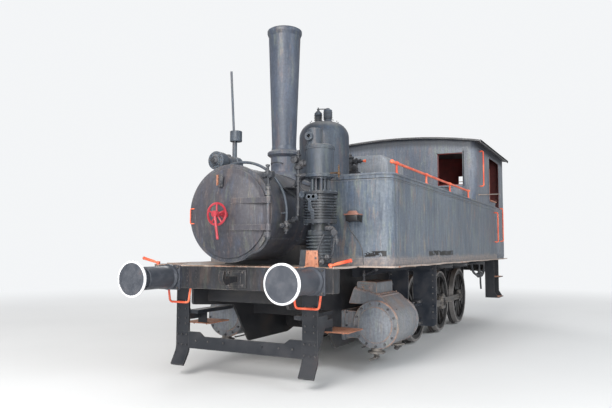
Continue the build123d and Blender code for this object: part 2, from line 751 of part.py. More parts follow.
def crosshead(side, angle):
    """Block between the slide bars with its piston rod running into the cylinder."""
    x, z = crosshead_x(angle), up(TREAD_RADIUS)
    half = CROSSHEAD_LENGTH / 2
    shoe_half = SLIDE_BAR_OPENING / 2 - 3
    y0, y1 = CYLINDER_CENTRE - CROSSHEAD_WIDTH / 2, CYLINDER_CENTRE + CROSSHEAD_WIDTH / 2
    shoe = prism(
        "Y",
        [(x - half, z + shoe_half - 34, 6), (x - half, z + shoe_half, 8), (x + half, z + shoe_half, 8),
         (x + half, z + shoe_half - 34, 6)],
        y0,
        y1,
    )
    cheek = prism(
        "Y",
        [(x - 84, z + shoe_half - 20), (x - 52, z, 40), (x - 84, z - shoe_half + 20), (x + 84, z - shoe_half + 20),
         (x + 66, z, 40), (x + 84, z + shoe_half - 20)],
        y0 + 8,
        y1 - 8,
    )
    socket = turning(
        [(0, 0), (48, 0), (38, half - 20, 6), (PISTON_ROD_RADIUS, half + 30), (0, half + 30)],
        (x, CYLINDER_CENTRE, z),
        (1, 0, 0),
    )
    boss_start = CONNECTING_ROD_OUTER + 14 + RUNNING_GAP
    boss = rod((x, boss_start, z), (x, y1 + 12, z), 54)
    piston_rod = rod((x, CYLINDER_CENTRE, z), (piston_rod_tip(angle), CYLINDER_CENTRE, z), PISTON_ROD_RADIUS)
    lower_shoe = Pos(0, 0, -2 * shoe_half + 34) * shoe
    body = cheek + [shoe, lower_shoe, socket, boss, piston_rod]
    return [body if side == 1 else mirror(body, about=Plane.XZ)]


def piston_rod_tip(angle):
    """X of the hidden end of the piston rod, still inside the cylinder at the rear dead point."""
    rearmost = at(MIDSTROKE_STATION + CRANK_THROW)
    reach = at(CYLINDER_REAR) + 60 - rearmost
    return crosshead_x(angle) + reach


# Cylinders and motion


def chest_seat():
    """Inner and outer edge, as Y and Z, of the slanted seat of the left steam chest."""
    return (740, up(898)), (1090, up(813))


def cylinder(side):
    """Cylinder casting with its covers and the neck that carries the steam chest."""
    z = up(TREAD_RADIUS)
    front, rear = at(CYLINDER_STATION), at(CYLINDER_REAR)
    inner = FRAME_OUTER + SEAT_GAP
    barrel = rod((rear, CYLINDER_CENTRE, z), (front, CYLINDER_CENTRE, z), CYLINDER_RADIUS)
    seat_inner, seat_outer = chest_seat()
    wing = prism(
        "X",
        [(CYLINDER_CENTRE - 150, z + 150), (CYLINDER_CENTRE + 120, z + 150), (CYLINDER_CENTRE + 194, z + 180),
         (seat_outer[0], seat_outer[1], 10), (seat_inner[0], seat_inner[1], 10), (seat_inner[0] - 60, z + 226, 10),
         (CYLINDER_CENTRE - 168, z + 226)],
        rear + 40,
        front - 40,
    )
    arm = prism(
        "X",
        [(inner, z - 170), (CYLINDER_CENTRE - 60, z - 170), (CYLINDER_CENTRE - 60, z + 140), (inner, z + 140)],
        rear + 40,
        front - 40,
    )
    shoulder = arm + wing
    solid = barrel + shoulder
    for start, direction in ((front, 1), (rear, -1)):
        solid += turning(
            [(0, -44), (CYLINDER_RADIUS - 4, -44), (COVER_RADIUS, -34, 4), (COVER_RADIUS, 0), (0, 0)],
            (start, CYLINDER_CENTRE, z),
            (direction, 0, 0),
        )
        solid += turning(
            [(0, 0), (COVER_RADIUS - 6, 0), (COVER_RADIUS - 6, COVER_THICKNESS - 8, 5), (202, COVER_THICKNESS - 8),
             (200, COVER_THICKNESS + 4, 3), (0, COVER_THICKNESS + 4)],
            (start, CYLINDER_CENTRE, z),
            (direction, 0, 0),
        )
    flange = prism(
        "Y",
        [(rear + 10, z - 200, 30), (front - 10, z - 200, 30), (front - 10, z + 150, 30), (rear + 10, z + 150, 30)],
        inner,
        inner + 36,
    )
    solid += flange
    gland = turning(
        [(0, 0), (82, 0), (82, 18, 4), (58, 20), (58, 44, 6), (0, 44)],
        (rear - COVER_THICKNESS + 2, CYLINDER_CENTRE, z),
        (-1, 0, 0),
    )
    solid += gland
    bore = rod((rear - 200, CYLINDER_CENTRE, z), (rear + 2 * CRANK_THROW + 130, CYLINDER_CENTRE, z), PISTON_ROD_RADIUS + PIN_GAP)
    solid -= bore
    return [solid if side == 1 else mirror(solid, about=Plane.XZ)]


def steam_chest(side):
    """Box of the valve on its slanted seat, with a flange along the joint."""
    (y0, z0), (y1, z1) = chest_seat()
    slope = (z1 - z0) / (y1 - y0)
    x0, x1 = at(CYLINDER_REAR - 124), at(CYLINDER_STATION + 80)

    def seat(y, lift=0.0):
        return z0 + slope * (y - y0) + SEAT_GAP + lift

    inner, outer = y0 + 30, y1 - 78
    box = prism(
        "X",
        [(inner, seat(inner)), (outer, seat(outer)), (outer, up(CHEST_HEIGHT) - 6, 20), (inner, up(CHEST_HEIGHT), 20)],
        x0,
        x1,
    )
    flange = prism(
        "X",
        [(y0 + 4, seat(y0 + 4)), (y1 - 4, seat(y1 - 4)), (y1 - 4, seat(y1 - 4, 14), 5), (y0 + 4, seat(y0 + 4, 14), 5)],
        x0 - 36,
        x1 + 36,
    )
    chest = box + flange
    return [chest if side == 1 else mirror(chest, about=Plane.XZ)]


def slide_bars():
    """Upper and lower bar from the rear cylinder cover to the motion plate."""
    z = up(TREAD_RADIUS)
    solids = []
    x0 = at(MOTION_PLATE_STATION) + SEAT_GAP
    x1 = at(CYLINDER_REAR) - COVER_THICKNESS - 4 - SEAT_GAP
    for level in (-1, 1):
        near = level * SLIDE_BAR_OPENING / 2
        far = level * (SLIDE_BAR_OPENING / 2 + SLIDE_BAR_THICKNESS)
        bar = block((x0, x1), (CYLINDER_CENTRE - 40, CYLINDER_CENTRE + 40), (z + near, z + far))
        solids.append(bar)
    return both_sides(solids)


def motion_plates():
    """Plate across the frame, slotted for the connecting rod, that carries the slide bars."""
    top = up(PLATE_UNDERSIDE - SEAT_GAP)
    slot_inner = CONNECTING_ROD_INNER - 14
    slot_outer = CONNECTING_ROD_OUTER + 14
    plate = prism(
        "X",
        [(FRAME_OUTER + SEAT_GAP, top), (FRAME_OUTER + SEAT_GAP, up(MOTION_PLATE_BOTTOM + 40), 20),
         (slot_inner, up(MOTION_PLATE_BOTTOM + 40), 20), (slot_inner, up(TREAD_RADIUS + 560)),
         (slot_outer, up(TREAD_RADIUS + 560)), (slot_outer, up(MOTION_PLATE_BOTTOM), 20),
         (MOTION_PLATE_OUTER, up(MOTION_PLATE_BOTTOM), 70), (MOTION_PLATE_OUTER, top)],
        at(MOTION_PLATE_STATION + MOTION_PLATE),
        at(MOTION_PLATE_STATION),
    )
    return both_sides([plate])


# Boiler, smokebox and mountings


def smokebox():
    """Shell with its front ring, its tube plate and the hinge lugs of the door."""
    z = up(BOILER_HEIGHT)
    front, rear = at(SMOKEBOX_STATION), at(SMOKEBOX_REAR)
    length = front - rear
    shell = turning(
        [(DOOR_OPENING_RADIUS, 0), (SMOKEBOX_RADIUS + 14, 0), (SMOKEBOX_RADIUS + 14, 34, 4), (SMOKEBOX_RADIUS, 34),
         (SMOKEBOX_RADIUS, length), (0, length), (0, length - 20), (SMOKEBOX_RADIUS - SMOKEBOX_SHELL, length - 20),
         (SMOKEBOX_RADIUS - SMOKEBOX_SHELL, 16), (DOOR_OPENING_RADIUS, 16)],
        (front, 0, z),
        (-1, 0, 0),
    )
    pin_x = front + HINGE_FORWARD
    for level in (-1, 1):
        rise = HINGE_RISE + level * (HINGE_SPACING / 2 + 66)
        height = z + rise
        edge = sqrt(DOOR_RADIUS**2 - (abs(rise) - 18) ** 2)
        lug = prism(
            "Z",
            [(front - 1, edge + 8), (front + 14, edge + 8), (pin_x + 24, HINGE_Y - 28, 20),
             (pin_x + 24, HINGE_Y + 26, 20), (pin_x - 24, HINGE_Y + 26, 20), (front - 1, edge + 44)],
            height - 18,
            height + 18,
        )
        shell += lug - rod((pin_x, HINGE_Y, height - 40), (pin_x, HINGE_Y, height + 40), HINGE_ROD_RADIUS + SEAT_GAP)
    chimney_hole = rod((at(CHIMNEY_STATION), 0, z), (at(CHIMNEY_STATION), 0, z + 700), CHIMNEY_FOOT_RADIUS - CHIMNEY_WALL)
    return [shell - chimney_hole]


def hinge_rod():
    """Upright rod in the lugs beside the smokebox door."""
    x, z = at(SMOKEBOX_STATION) + HINGE_FORWARD, up(BOILER_HEIGHT)
    half = HINGE_SPACING / 2 + 108
    bar = rod((x, HINGE_Y, z - half), (x, HINGE_Y, z + half), HINGE_ROD_RADIUS)
    bar += rod((x, HINGE_Y, z - half - 4), (x, HINGE_Y, z - half + 18), HINGE_ROD_RADIUS + 10)
    bar += rod((x, HINGE_Y, z + half - 18), (x, HINGE_Y, z + half + 4), HINGE_ROD_RADIUS + 10)
    return [bar]


def smokebox_door():
    """Dished round door with two hinge straps that end in eyes on the hinge rod."""
    x, z = at(SMOKEBOX_STATION) + RUNNING_GAP, up(BOILER_HEIGHT)
    door = turning(
        [(0, DOOR_DISH), (0, DOOR_DISH + DOOR_PLATE), (DOOR_RADIUS * 0.45, DOOR_DISH * 0.86 + DOOR_PLATE, 400),
         (DOOR_RADIUS - 46, DOOR_PLATE + 2, 60), (DOOR_RADIUS, DOOR_PLATE + 2, 5), (DOOR_RADIUS, 0),
         (DOOR_RADIUS - 50, 0, 60), (DOOR_RADIUS * 0.45, DOOR_DISH * 0.86, 400)],
        (x, 0, z),
        (1, 0, 0),
    )
    pin_x = at(SMOKEBOX_STATION) + HINGE_FORWARD
    for level in (-1, 1):
        height = z + HINGE_RISE + level * HINGE_SPACING / 2
        strap = prism(
            "Z",
            [(x + DOOR_DISH + 2, 60), (x + DOOR_DISH + 18, 60, 6), (x + 62, 360, 200), (pin_x + 14, HINGE_Y - 40, 10),
             (pin_x + 14, HINGE_Y), (pin_x - 4, HINGE_Y), (pin_x - 4, HINGE_Y - 60, 10),
             (x + DOOR_PLATE - 2, DOOR_RADIUS - 46, 20), (x + DOOR_PLATE - 2, DOOR_RADIUS - 80)],
            height - 27,
            height + 27,
        )
        door += strap
        door += rod((pin_x, HINGE_Y, height - 32), (pin_x, HINGE_Y, height + 32), HINGE_ROD_RADIUS + 16)
    door -= rod((pin_x, HINGE_Y, z - 400), (pin_x, HINGE_Y, z + 400), HINGE_ROD_RADIUS + PIN_GAP)
    return [door]


def door_handwheel():
    """Five-spoked handwheel and the dart handle on the middle of the door."""
    x, z = at(SMOKEBOX_STATION) + RUNNING_GAP + DOOR_DISH + DOOR_PLATE + SEAT_GAP, up(BOILER_HEIGHT) - 20
    spindle = turning([(0, 0), (40, 0), (40, 16, 4), (20, 24), (20, 190, 4), (0, 190)], (x, 0, z), (1, 0, 0))
    wheel_x = x + 136
    ring = hand_ring((wheel_x, 0, z), HANDWHEEL_RADIUS, 11)
    solid = spindle + ring + rod((wheel_x - 20, 0, z), (wheel_x + 20, 0, z), 30)
    for index in range(5):
        turn = radians(90 + 72 * index)
        tip = (wheel_x, (HANDWHEEL_RADIUS - 14) * cos(turn), z + (HANDWHEEL_RADIUS - 14) * sin(turn))
        solid += rod((wheel_x, 0, z), tip, 9)
    lever_x = wheel_x + 36
    solid += rod((lever_x, 0, z), (lever_x + 30, 62, z - 250), 13)
    solid += rod((lever_x - 14, 0, z), (lever_x + 14, 0, z), 32)
    return [solid]


def smokebox_saddle():
    """Stool between the frames with its top fitted to the smokebox."""
    x0, x1 = at(SMOKEBOX_REAR - 80), at(CHIMNEY_STATION - 380)
    inner = FRAME_OUTER - FRAME_PLATE
    stool = prism(
        "X",
        [(-inner, up(RUNNING_PLATE_HEIGHT) + SEAT_GAP), (inner, up(RUNNING_PLATE_HEIGHT) + SEAT_GAP),
         (420, up(1400), 40), (-420, up(1400), 40)],
        x0,
        x1,
    )
    stool -= rod((x0 - 50, 0, up(BOILER_HEIGHT)), (x1 + 50, 0, up(BOILER_HEIGHT)), SMOKEBOX_RADIUS + SEAT_GAP)
    return [stool]


def boiler():
    """Barrel with its cladding bands."""
    front, rear = at(SMOKEBOX_REAR) - SEAT_GAP, at(FIREBOX_STATION) + SEAT_GAP
    length = front - rear
    outline = [(0, 0), (BOILER_RADIUS, 0)]
    band_width, bands = 56, 5
    for index in range(bands):
        start = 60 + index * (length - 120 - band_width) / (bands - 1)
        outline += [
            (BOILER_RADIUS, start), (BOILER_RADIUS + 5, start),
            (BOILER_RADIUS + 5, start + band_width), (BOILER_RADIUS, start + band_width),
        ]
    outline += [(BOILER_RADIUS, length), (0, length)]
    return [turning(outline, (front, 0, up(BOILER_HEIGHT)), (-1, 0, 0))]


def firebox():
    """Round-topped outer firebox, drawn in between the frames below the running plate."""
    z = up(BOILER_HEIGHT)
    half, low = FIREBOX_HALF_WIDTH, up(FIREBOX_BOTTOM)
    x0, x1 = at(FIREBOX_REAR), at(FIREBOX_STATION)
    body = block((x0, x1), (-half, half), (low, z))
    body += rod((x0, 0, z), (x1, 0, z), half)
    return [body]


def ash_pan():
    """Ash pan under the firebox, arched over the driving axle."""
    x0, x1 = at(FIREBOX_REAR - 30), at(FIREBOX_STATION + 30)
    top = up(FIREBOX_BOTTOM - SEAT_GAP)
    arch = AXLE_RADIUS + 70
    low, high = up(430), up(TREAD_RADIUS + AXLE_RADIUS + 62)
    pan = prism(
        "Y",
        [(x0, top), (x1, top), (x1, low, 20), (at(DRIVING_STATION - arch - 90), low, 20),
         (at(DRIVING_STATION - arch), high, 20), (at(DRIVING_STATION + arch), high, 20),
         (at(DRIVING_STATION + arch + 90), low, 20), (x0, low, 20)],
        -440,
        440,
    )
    return [pan]


def chimney():
    """Tapered cast chimney, wider at its lip, on a short base fitted to the smokebox."""
    x = at(CHIMNEY_STATION)
    flange, top = up(CHIMNEY_FLANGE_HEIGHT), up(CHIMNEY_TOP)
    height = top - flange
    foot, lip, wall = CHIMNEY_FOOT_RADIUS, CHIMNEY_TOP_RADIUS, CHIMNEY_WALL
    tube = turning(
        [(foot - wall, 0), (foot + 54, 0, 4), (foot + 54, 14, 5), (foot + 8, 46, 14), (foot, 90),
         (lip, height - 90, 20), (lip + 17, height - 50, 10), (lip + 17, height - 14, 16), (lip - 4, height, 8),
         (lip - wall, height)],
        (x, 0, flange + SEAT_GAP),
        (0, 0, 1),
    )
    return [tube]


def chimney_base():
    """Waisted casting between the chimney flange and the smokebox."""
    x = at(CHIMNEY_STATION)
    flange = up(CHIMNEY_FLANGE_HEIGHT)
    foot, wall = CHIMNEY_FOOT_RADIUS, CHIMNEY_WALL
    crown = up(BOILER_HEIGHT) + SMOKEBOX_RADIUS
    low = crown - 90 - flange
    base = turning(
        [(foot - wall, 0), (foot + 54, 0, 4), (foot + 54, -14, 5), (foot + 14, -44, 14), (foot + 12, crown - flange + 60, 40),
         (foot + 80, crown - flange - 20), (foot + 80, low), (foot - wall, low)],
        (x, 0, flange),
        (0, 0, 1),
    )
    base -= rod((x - 400, 0, up(BOILER_HEIGHT)), (x + 400, 0, up(BOILER_HEIGHT)), SMOKEBOX_RADIUS + SEAT_GAP)
    return [base]


def dome():
    """Steam dome casing with a rounded top and a flared foot on the boiler."""
    x = at(DOME_STATION)
    crown = up(BOILER_HEIGHT) + BOILER_RADIUS
    low = crown - 160
    height = up(DOME_TOP) - low
    casing = turning(
        [(0, 0), (DOME_RADIUS + 70, 0), (DOME_RADIUS + 64, 60, 20), (DOME_RADIUS, 190, 90),
         (DOME_RADIUS, height - 20, 215), (0, height)],
        (x, 0, low),
        (0, 0, 1),
    )
    casing -= rod((x - 500, 0, up(BOILER_HEIGHT)), (x + 500, 0, up(BOILER_HEIGHT)), BOILER_RADIUS + 5 + SEAT_GAP)
    return [casing]


def safety_valves():
    """Two spring safety valves side by side on the dome, one capped and one open."""
    foot = up(DOME_TOP) - 14
    top = up(VALVE_TOP)
    x = at(DOME_STATION)
    capped = turning(
        [(0, 0), (58, 0), (58, 30, 4), (40, 40), (40, 110, 4), (52, 118, 4), (52, 150, 6), (12, top - foot - 40, 6),
         (0, top - foot - 20)],
        (x, -90, foot),
        (0, 0, 1),
    )
    drum = turning(
        [(0, 0), (62, 0), (62, 26, 4), (50, 36), (50, 76, 4), (58, 84, 4), (58, top - foot - 54, 10), (24, top - foot - 40),
         (24, top - foot - 28, 4), (0, top - foot - 28)],
        (x, 56, foot),
        (0, 0, 1),
    )
    crown = dome()[0]
    return [capped - crown, drum - crown]


def sandbox():
    """Round-shouldered sandbox riding on the boiler behind the dome."""
    half = SANDBOX_HALF_WIDTH
    x0, x1 = at(SANDBOX_STATION + SANDBOX_LENGTH), at(SANDBOX_STATION)
    body = prism(
        "X",
        [(-half, up(BOILER_HEIGHT + 180)), (half, up(BOILER_HEIGHT + 180)), (half, up(SANDBOX_TOP), 150),
         (-half, up(SANDBOX_TOP), 150)],
        x0,
        x1,
    )
    body = fillet(body.edges().filter_by(GeomType.LINE, reverse=True).filter_by(lambda e: e.length > 100), 40)
    body -= rod((x0 - 50, 0, up(BOILER_HEIGHT)), (x1 + 50, 0, up(BOILER_HEIGHT)), BOILER_RADIUS + 5 + SEAT_GAP)
    return [body]


def generator():
    """Small turbine generator on a bracket on the smokebox, its drum along the boiler."""
    x = at(GENERATOR_STATION)
    y, z = GENERATOR_SIDE, up(GENERATOR_HEIGHT)
    r = GENERATOR_RADIUS
    drum = turning(
        [(0, 0), (r * 0.5, 0, 4), (r * 0.62, 18), (r, 22, 5), (r, 128, 6), (r * 0.72, 138),
         (r * 0.72, 320), (r * 0.86, 328), (r * 0.86, GENERATOR_LENGTH - 24), (r * 0.6, GENERATOR_LENGTH),
         (0, GENERATOR_LENGTH)],
        (x, y, z),
        (-1, 0, 0),
    )
    foot = block((x - 320, x - 170), (y - 60, y + 60), (z - r - 220, z - r * 0.4))
    foot -= rod((x - 800, 0, up(BOILER_HEIGHT)), (x + 300, 0, up(BOILER_HEIGHT)), SMOKEBOX_RADIUS + SEAT_GAP)
    return [drum + foot]


def exhaust_pipe():
    """Exhaust of the generator with its silencer drum and a thin tail pipe."""
    x = at(GENERATOR_STATION + GENERATOR_LENGTH - 70)
    y, z = GENERATOR_SIDE, up(GENERATOR_HEIGHT)
    start = z + GENERATOR_RADIUS * 0.86 + SEAT_GAP
    pipe = rod((x, y, start), (x, y, z + 282), 26)
    pipe += turning([(0, 0), (68, 0, 6), (68, 120, 6), (0, 120)], (x, y + 16, z + 257), (0, 0, 1))
    pipe += rod((x, y - 14, z + 362), (x + 40, y - 30, up(3370)), 13)
    return [pipe]


# Compressor


def finned(axis_point, levels, core, fin, pitch, plates):
    """Cylinder with cooling fins between two end plates, each plate given as (low, high, radius)."""
    low, high = levels
    outline = [(0, plates[0][0])]
    for plate_low, plate_high, radius in plates[:1]:
        outline += [(radius, plate_low, 4), (radius, plate_high, 4), (core, plate_high)]
    count = int((high - low) / pitch)
    for index in range(count):
        z = low + (index + 0.5) * (high - low) / count - COMPRESSOR_FIN_THICKNESS / 2
        outline += [(core, z), (fin, z), (fin, z + COMPRESSOR_FIN_THICKNESS), (core, z + COMPRESSOR_FIN_THICKNESS)]
    for plate_low, plate_high, radius in plates[1:]:
        outline += [(core, plate_low), (radius, plate_low, 4), (radius, plate_high, 4)]
    outline += [(0, plates[-1][1])]
    return turning(outline, axis_point, (0, 0, 1))


COMPRESSOR_LEVELS = {
    "foot": 1184, "lower fins": 1262, "lower top": 1515, "gap": 1537, "upper bottom": 1613, "upper fins": 1655,
    "upper top": 1904, "frame": 1929, "steam bottom": 2076, "steam body": 2105, "band": 2358, "band top": 2397,
    "cap top": 2578,
}


def compressor_air_cylinders():
    """The two finned air cylinders, one above the other."""
    level = {name: up(height) for name, height in COMPRESSOR_LEVELS.items()}
    axis = (at(COMPRESSOR_STATION), COMPRESSOR_SIDE, 0)
    lower = finned(
        axis, (level["lower fins"], level["lower top"] - 22), 112, COMPRESSOR_LOWER_FIN_RADIUS, 29,
        [(level["foot"] + 40, level["lower fins"] - 6, 118), (level["lower top"] - 20, level["gap"], 124)],
    )
    neck = rod((*axis[:2], level["gap"] - 2), (*axis[:2], level["upper bottom"] + 2), 92)
    upper = finned(
        axis, (level["upper fins"] + 4, level["upper top"] - 24), 140, COMPRESSOR_FIN_RADIUS, 27,
        [(level["upper bottom"], level["upper fins"], 171), (level["upper top"], level["frame"], 184)],
    )
    return [lower + neck + upper]


def compressor_frame():
    """Open distance piece with the piston rod showing between the air and steam cylinders."""
    x, y = at(COMPRESSOR_STATION), COMPRESSOR_SIDE
    low, high = up(COMPRESSOR_LEVELS["frame"]) + SEAT_GAP, up(COMPRESSOR_LEVELS["steam bottom"]) - SEAT_GAP
    solid = rod((x, y, low), (x, y, low + 16), 96)
    solid += rod((x, y, high - 14), (x, y, high), 110)
    solid += rod((x, y, low), (x, y, high), 21)
    for turn in (35, 145, 215, 325):
        px, py = x + 84 * cos(radians(turn)), y + 84 * sin(radians(turn))
        solid += rod((px, py, low), (px, py, high), 17)
    return [solid]


def compressor_steam_cylinder():
    """Plain steam cylinder with its valve head on top."""
    level = {name: up(height) for name, height in COMPRESSOR_LEVELS.items()}
    x, y = at(COMPRESSOR_STATION), COMPRESSOR_SIDE
    base = level["steam bottom"]
    r = COMPRESSOR_STEAM_RADIUS
    body = turning(
        [(0, 0), (r + 6, 0, 4), (r + 6, level["steam body"] - base, 6), (r, level["steam body"] + 4 - base),
         (r, level["band"] - base), (r + 5, level["band"] - base, 3), (r + 5, level["band top"] - base, 5),
         (r - 26, level["band top"] + 12 - base), (0, level["band top"] + 20 - base)],
        (x, y, base),
        (0, 0, 1),
    )
    height = level["cap top"] - level["band top"]
    cap = turning([(0, 0), (80, 0), (80, height, 18), (0, height)], (x + 6, y - 56, level["band top"]), (0, 0, 1))
    throat_z = level["band top"] + 96
    throat = rod((x, y - 74, throat_z), (x + 112, y - 74, throat_z), 34)
    throat += rod((x + 98, y - 74, throat_z), (x + 112, y - 74, throat_z), 42)
    cap = cap + throat - rod((x + 60, y - 74, throat_z), (x + 120, y - 74, throat_z), 20)
    return [body + cap]


def compressor_bracket():
    """Tapered bracket that carries the compressor on the running plate."""
    x, y = at(COMPRESSOR_STATION), COMPRESSOR_SIDE
    low = up(RUNNING_PLATE_HEIGHT) + SEAT_GAP
    face = x + COMPRESSOR_LOWER_FIN_RADIUS + 8
    bracket = prism(
        "X",
        [(y - 150, low), (y - 10, low), (y - 26, low + 168, 6), (y - 134, low + 168, 6)],
        face,
        face + 14,
    )
    foot = rod((x, y, low), (x, y, up(COMPRESSOR_LEVELS["foot"] + 40) - SEAT_GAP), 96)
    foot += block((x, face + 14), (y - 90, y - 50), (low, low + 20))
    return [bracket + foot]


# Tanks


def tank_outline(grow, station):
    """Plan outline of a tank that starts at a station, grown outwards at its front and outer sides."""
    x0, x1 = at(TANK_REAR), at(station) + grow
    return [(x0, TANK_INNER), (x1, TANK_INNER), (x1, TANK_OUTER + grow, TANK_CORNER + grow), (x0, TANK_OUTER + grow)]


def filler_hinge():
    """Y and Z of the hinge pin of the left filler lid."""
    return FILLER_SIDE - FILLER_RADIUS - 34, up(TANK_TOP) + FILLER_HEIGHT + 10


def tank(side):
    """Long side tank with a rounded front corner, beading at its top and a band at its foot."""
    station = TANK_STATION if side == 1 else RIGHT_TANK_STATION
    low, high = up(RUNNING_PLATE_HEIGHT) + SEAT_GAP, up(TANK_TOP)
    solid = prism("Z", tank_outline(0, station), low, high)
    for start, end, proud in ((low, low + 78, 5), (high - 74, high - 62, 7), (high - 18, high, 12)):
        solid += prism("Z", tank_outline(proud, station), start, end)
    ring = turning(
        [(FILLER_RADIUS - 12, -SEAT_GAP), (FILLER_RADIUS, -SEAT_GAP), (FILLER_RADIUS, FILLER_HEIGHT), (FILLER_RADIUS - 12, FILLER_HEIGHT)],
        (at(FILLER_STATION), FILLER_SIDE, high),
        (0, 0, 1),
    )
    solid += ring
    lug_y, hinge_z = filler_hinge()
    for offset in (-70, 70):
        lug_x = at(FILLER_STATION) + offset
        lug = block((lug_x - 8, lug_x + 8), (lug_y - 18, lug_y + 14), (high - 1, high + FILLER_HEIGHT + 8))
        lug += block((lug_x - 8, lug_x + 8), (lug_y, FILLER_SIDE - FILLER_RADIUS + 20), (high - 1, high + FILLER_HEIGHT - 12))
        lug += rod((lug_x - 8, lug_y, hinge_z), (lug_x + 8, lug_y, hinge_z), 18)
        solid += lug
    solid += rod((at(FILLER_STATION) - 74, lug_y, hinge_z), (at(FILLER_STATION) + 74, lug_y, hinge_z), 8)
    return [solid if side == 1 else mirror(solid, about=Plane.XZ)]


def filler_lid(side):
    """Round lid of the tank filler with its hinge eye and a grip at the outer edge."""
    z = up(TANK_TOP) + FILLER_HEIGHT + RUNNING_GAP
    x = at(FILLER_STATION)
    lug_y, hinge_z = filler_hinge()
    lid = turning([(0, 0), (FILLER_RADIUS + 12, 0), (FILLER_RADIUS + 12, 12, 6), (FILLER_RADIUS - 20, 20, 20), (0, 26)],
                  (x, FILLER_SIDE, z), (0, 0, 1))
    lid += block((x - 50, x + 50), (lug_y, FILLER_SIDE - FILLER_RADIUS + 20), (hinge_z - 2, hinge_z + 12))
    lid += rod((x - 50, lug_y, hinge_z), (x + 50, lug_y, hinge_z), 18)
    lid -= rod((x - 90, lug_y, hinge_z), (x + 90, lug_y, hinge_z), 8 + PIN_GAP)
    lid += block((x - 30, x + 30), (FILLER_SIDE + FILLER_RADIUS - 10, FILLER_SIDE + FILLER_RADIUS + 50), (z + 2, z + 12))
    return [lid if side == 1 else mirror(lid, about=Plane.XZ)]


def tank_handrails():
    """Handrail on posts along the outer edge of each tank top."""
    z = up(TANK_RAIL_HEIGHT)
    rails = []
    for side, posts in ((1, TANK_RAIL_POSTS), (-1, RIGHT_TANK_RAIL_POSTS)):
        y = side * TANK_RAIL_SIDE
        start, end = posts[0] - 150, posts[-1] + 20
        rail = rod((at(start), y, z), (at(end), y, z), RAIL_RADIUS)
        rail += Pos(at(start), y, z) * Sphere(RAIL_RADIUS + 8)
        for station in posts:
            rail += rod((at(station), y, up(TANK_TOP) + SEAT_GAP), (at(station), y, z), 12)
            rail += rod((at(station), y, up(TANK_TOP) + SEAT_GAP), (at(station), y, up(TANK_TOP) + 16), 26)
            rail += Pos(at(station), y, z) * Sphere(RAIL_RADIUS + 6)
        rails.append(rail)
    return rails


# Cab


def roof_height(y, drop=0.0):
    """Z of the roof's upper surface above a distance from the centre line, less a drop."""
    radius = ROOF_RADIUS - drop
    return up(ROOF_APEX) - ROOF_RADIUS + sqrt(radius**2 - y**2)


def under_roof(x0, x1, half_width, low):
    """Solid below the roof's underside, to trim the sheets of the cab."""
    drop = ROOF_SHEET + SEAT_GAP
    centre = up(ROOF_APEX) - ROOF_RADIUS
    body = block((x0, x1), (-half_width, half_width), (low, up(ROOF_APEX)))
    return body & rod((x0, 0, centre), (x1, 0, centre), ROOF_RADIUS - drop)


def cab_front():
    """Front sheet with rounded corners, cut out over the firebox and for two windows."""
    x = at(CAB_STATION)
    half, corner, t = CAB_HALF_WIDTH, CAB_CORNER, CAB_SHEET
    low = up(TANK_TOP) + SEAT_GAP
    back = x - CAB_RETURN
    outer = prism("Z", [(back, -half), (x, -half, corner), (x, half, corner), (back, half)], low, up(ROOF_APEX))
    inner = prism(
        "Z",
        [(back - 1, -half + t), (x - t, -half + t, corner - t), (x - t, half - t, corner - t), (back - 1, half - t)],
        low - 1,
        up(ROOF_APEX) + 1,
    )
    sheet = outer - inner
    apron = block((x - t, x), (-TANK_INNER + SEAT_GAP, TANK_INNER - SEAT_GAP), (up(RUNNING_PLATE_HEIGHT) + 120, low + 1))
    sheet = (sheet + apron) & under_roof(back - 1, x + 1, half + 1, up(RUNNING_PLATE_HEIGHT))
    sheet -= rod((x - 50, 0, up(BOILER_HEIGHT)), (x + 50, 0, up(BOILER_HEIGHT)), FIREBOX_HALF_WIDTH + SEAT_GAP)
    sheet -= block((x - 50, x + 50), (-FIREBOX_HALF_WIDTH - SEAT_GAP, FIREBOX_HALF_WIDTH + SEAT_GAP), (up(1000), up(BOILER_HEIGHT)))
    for side in (-1, 1):
        y0, y1 = side * WINDOW_INNER, side * (WINDOW_INNER + WINDOW_WIDTH)
        sheet -= block((x - 50, x + 50), (y0, y1), (up(WINDOW_BOTTOM), up(WINDOW_TOP)))
    return [sheet]


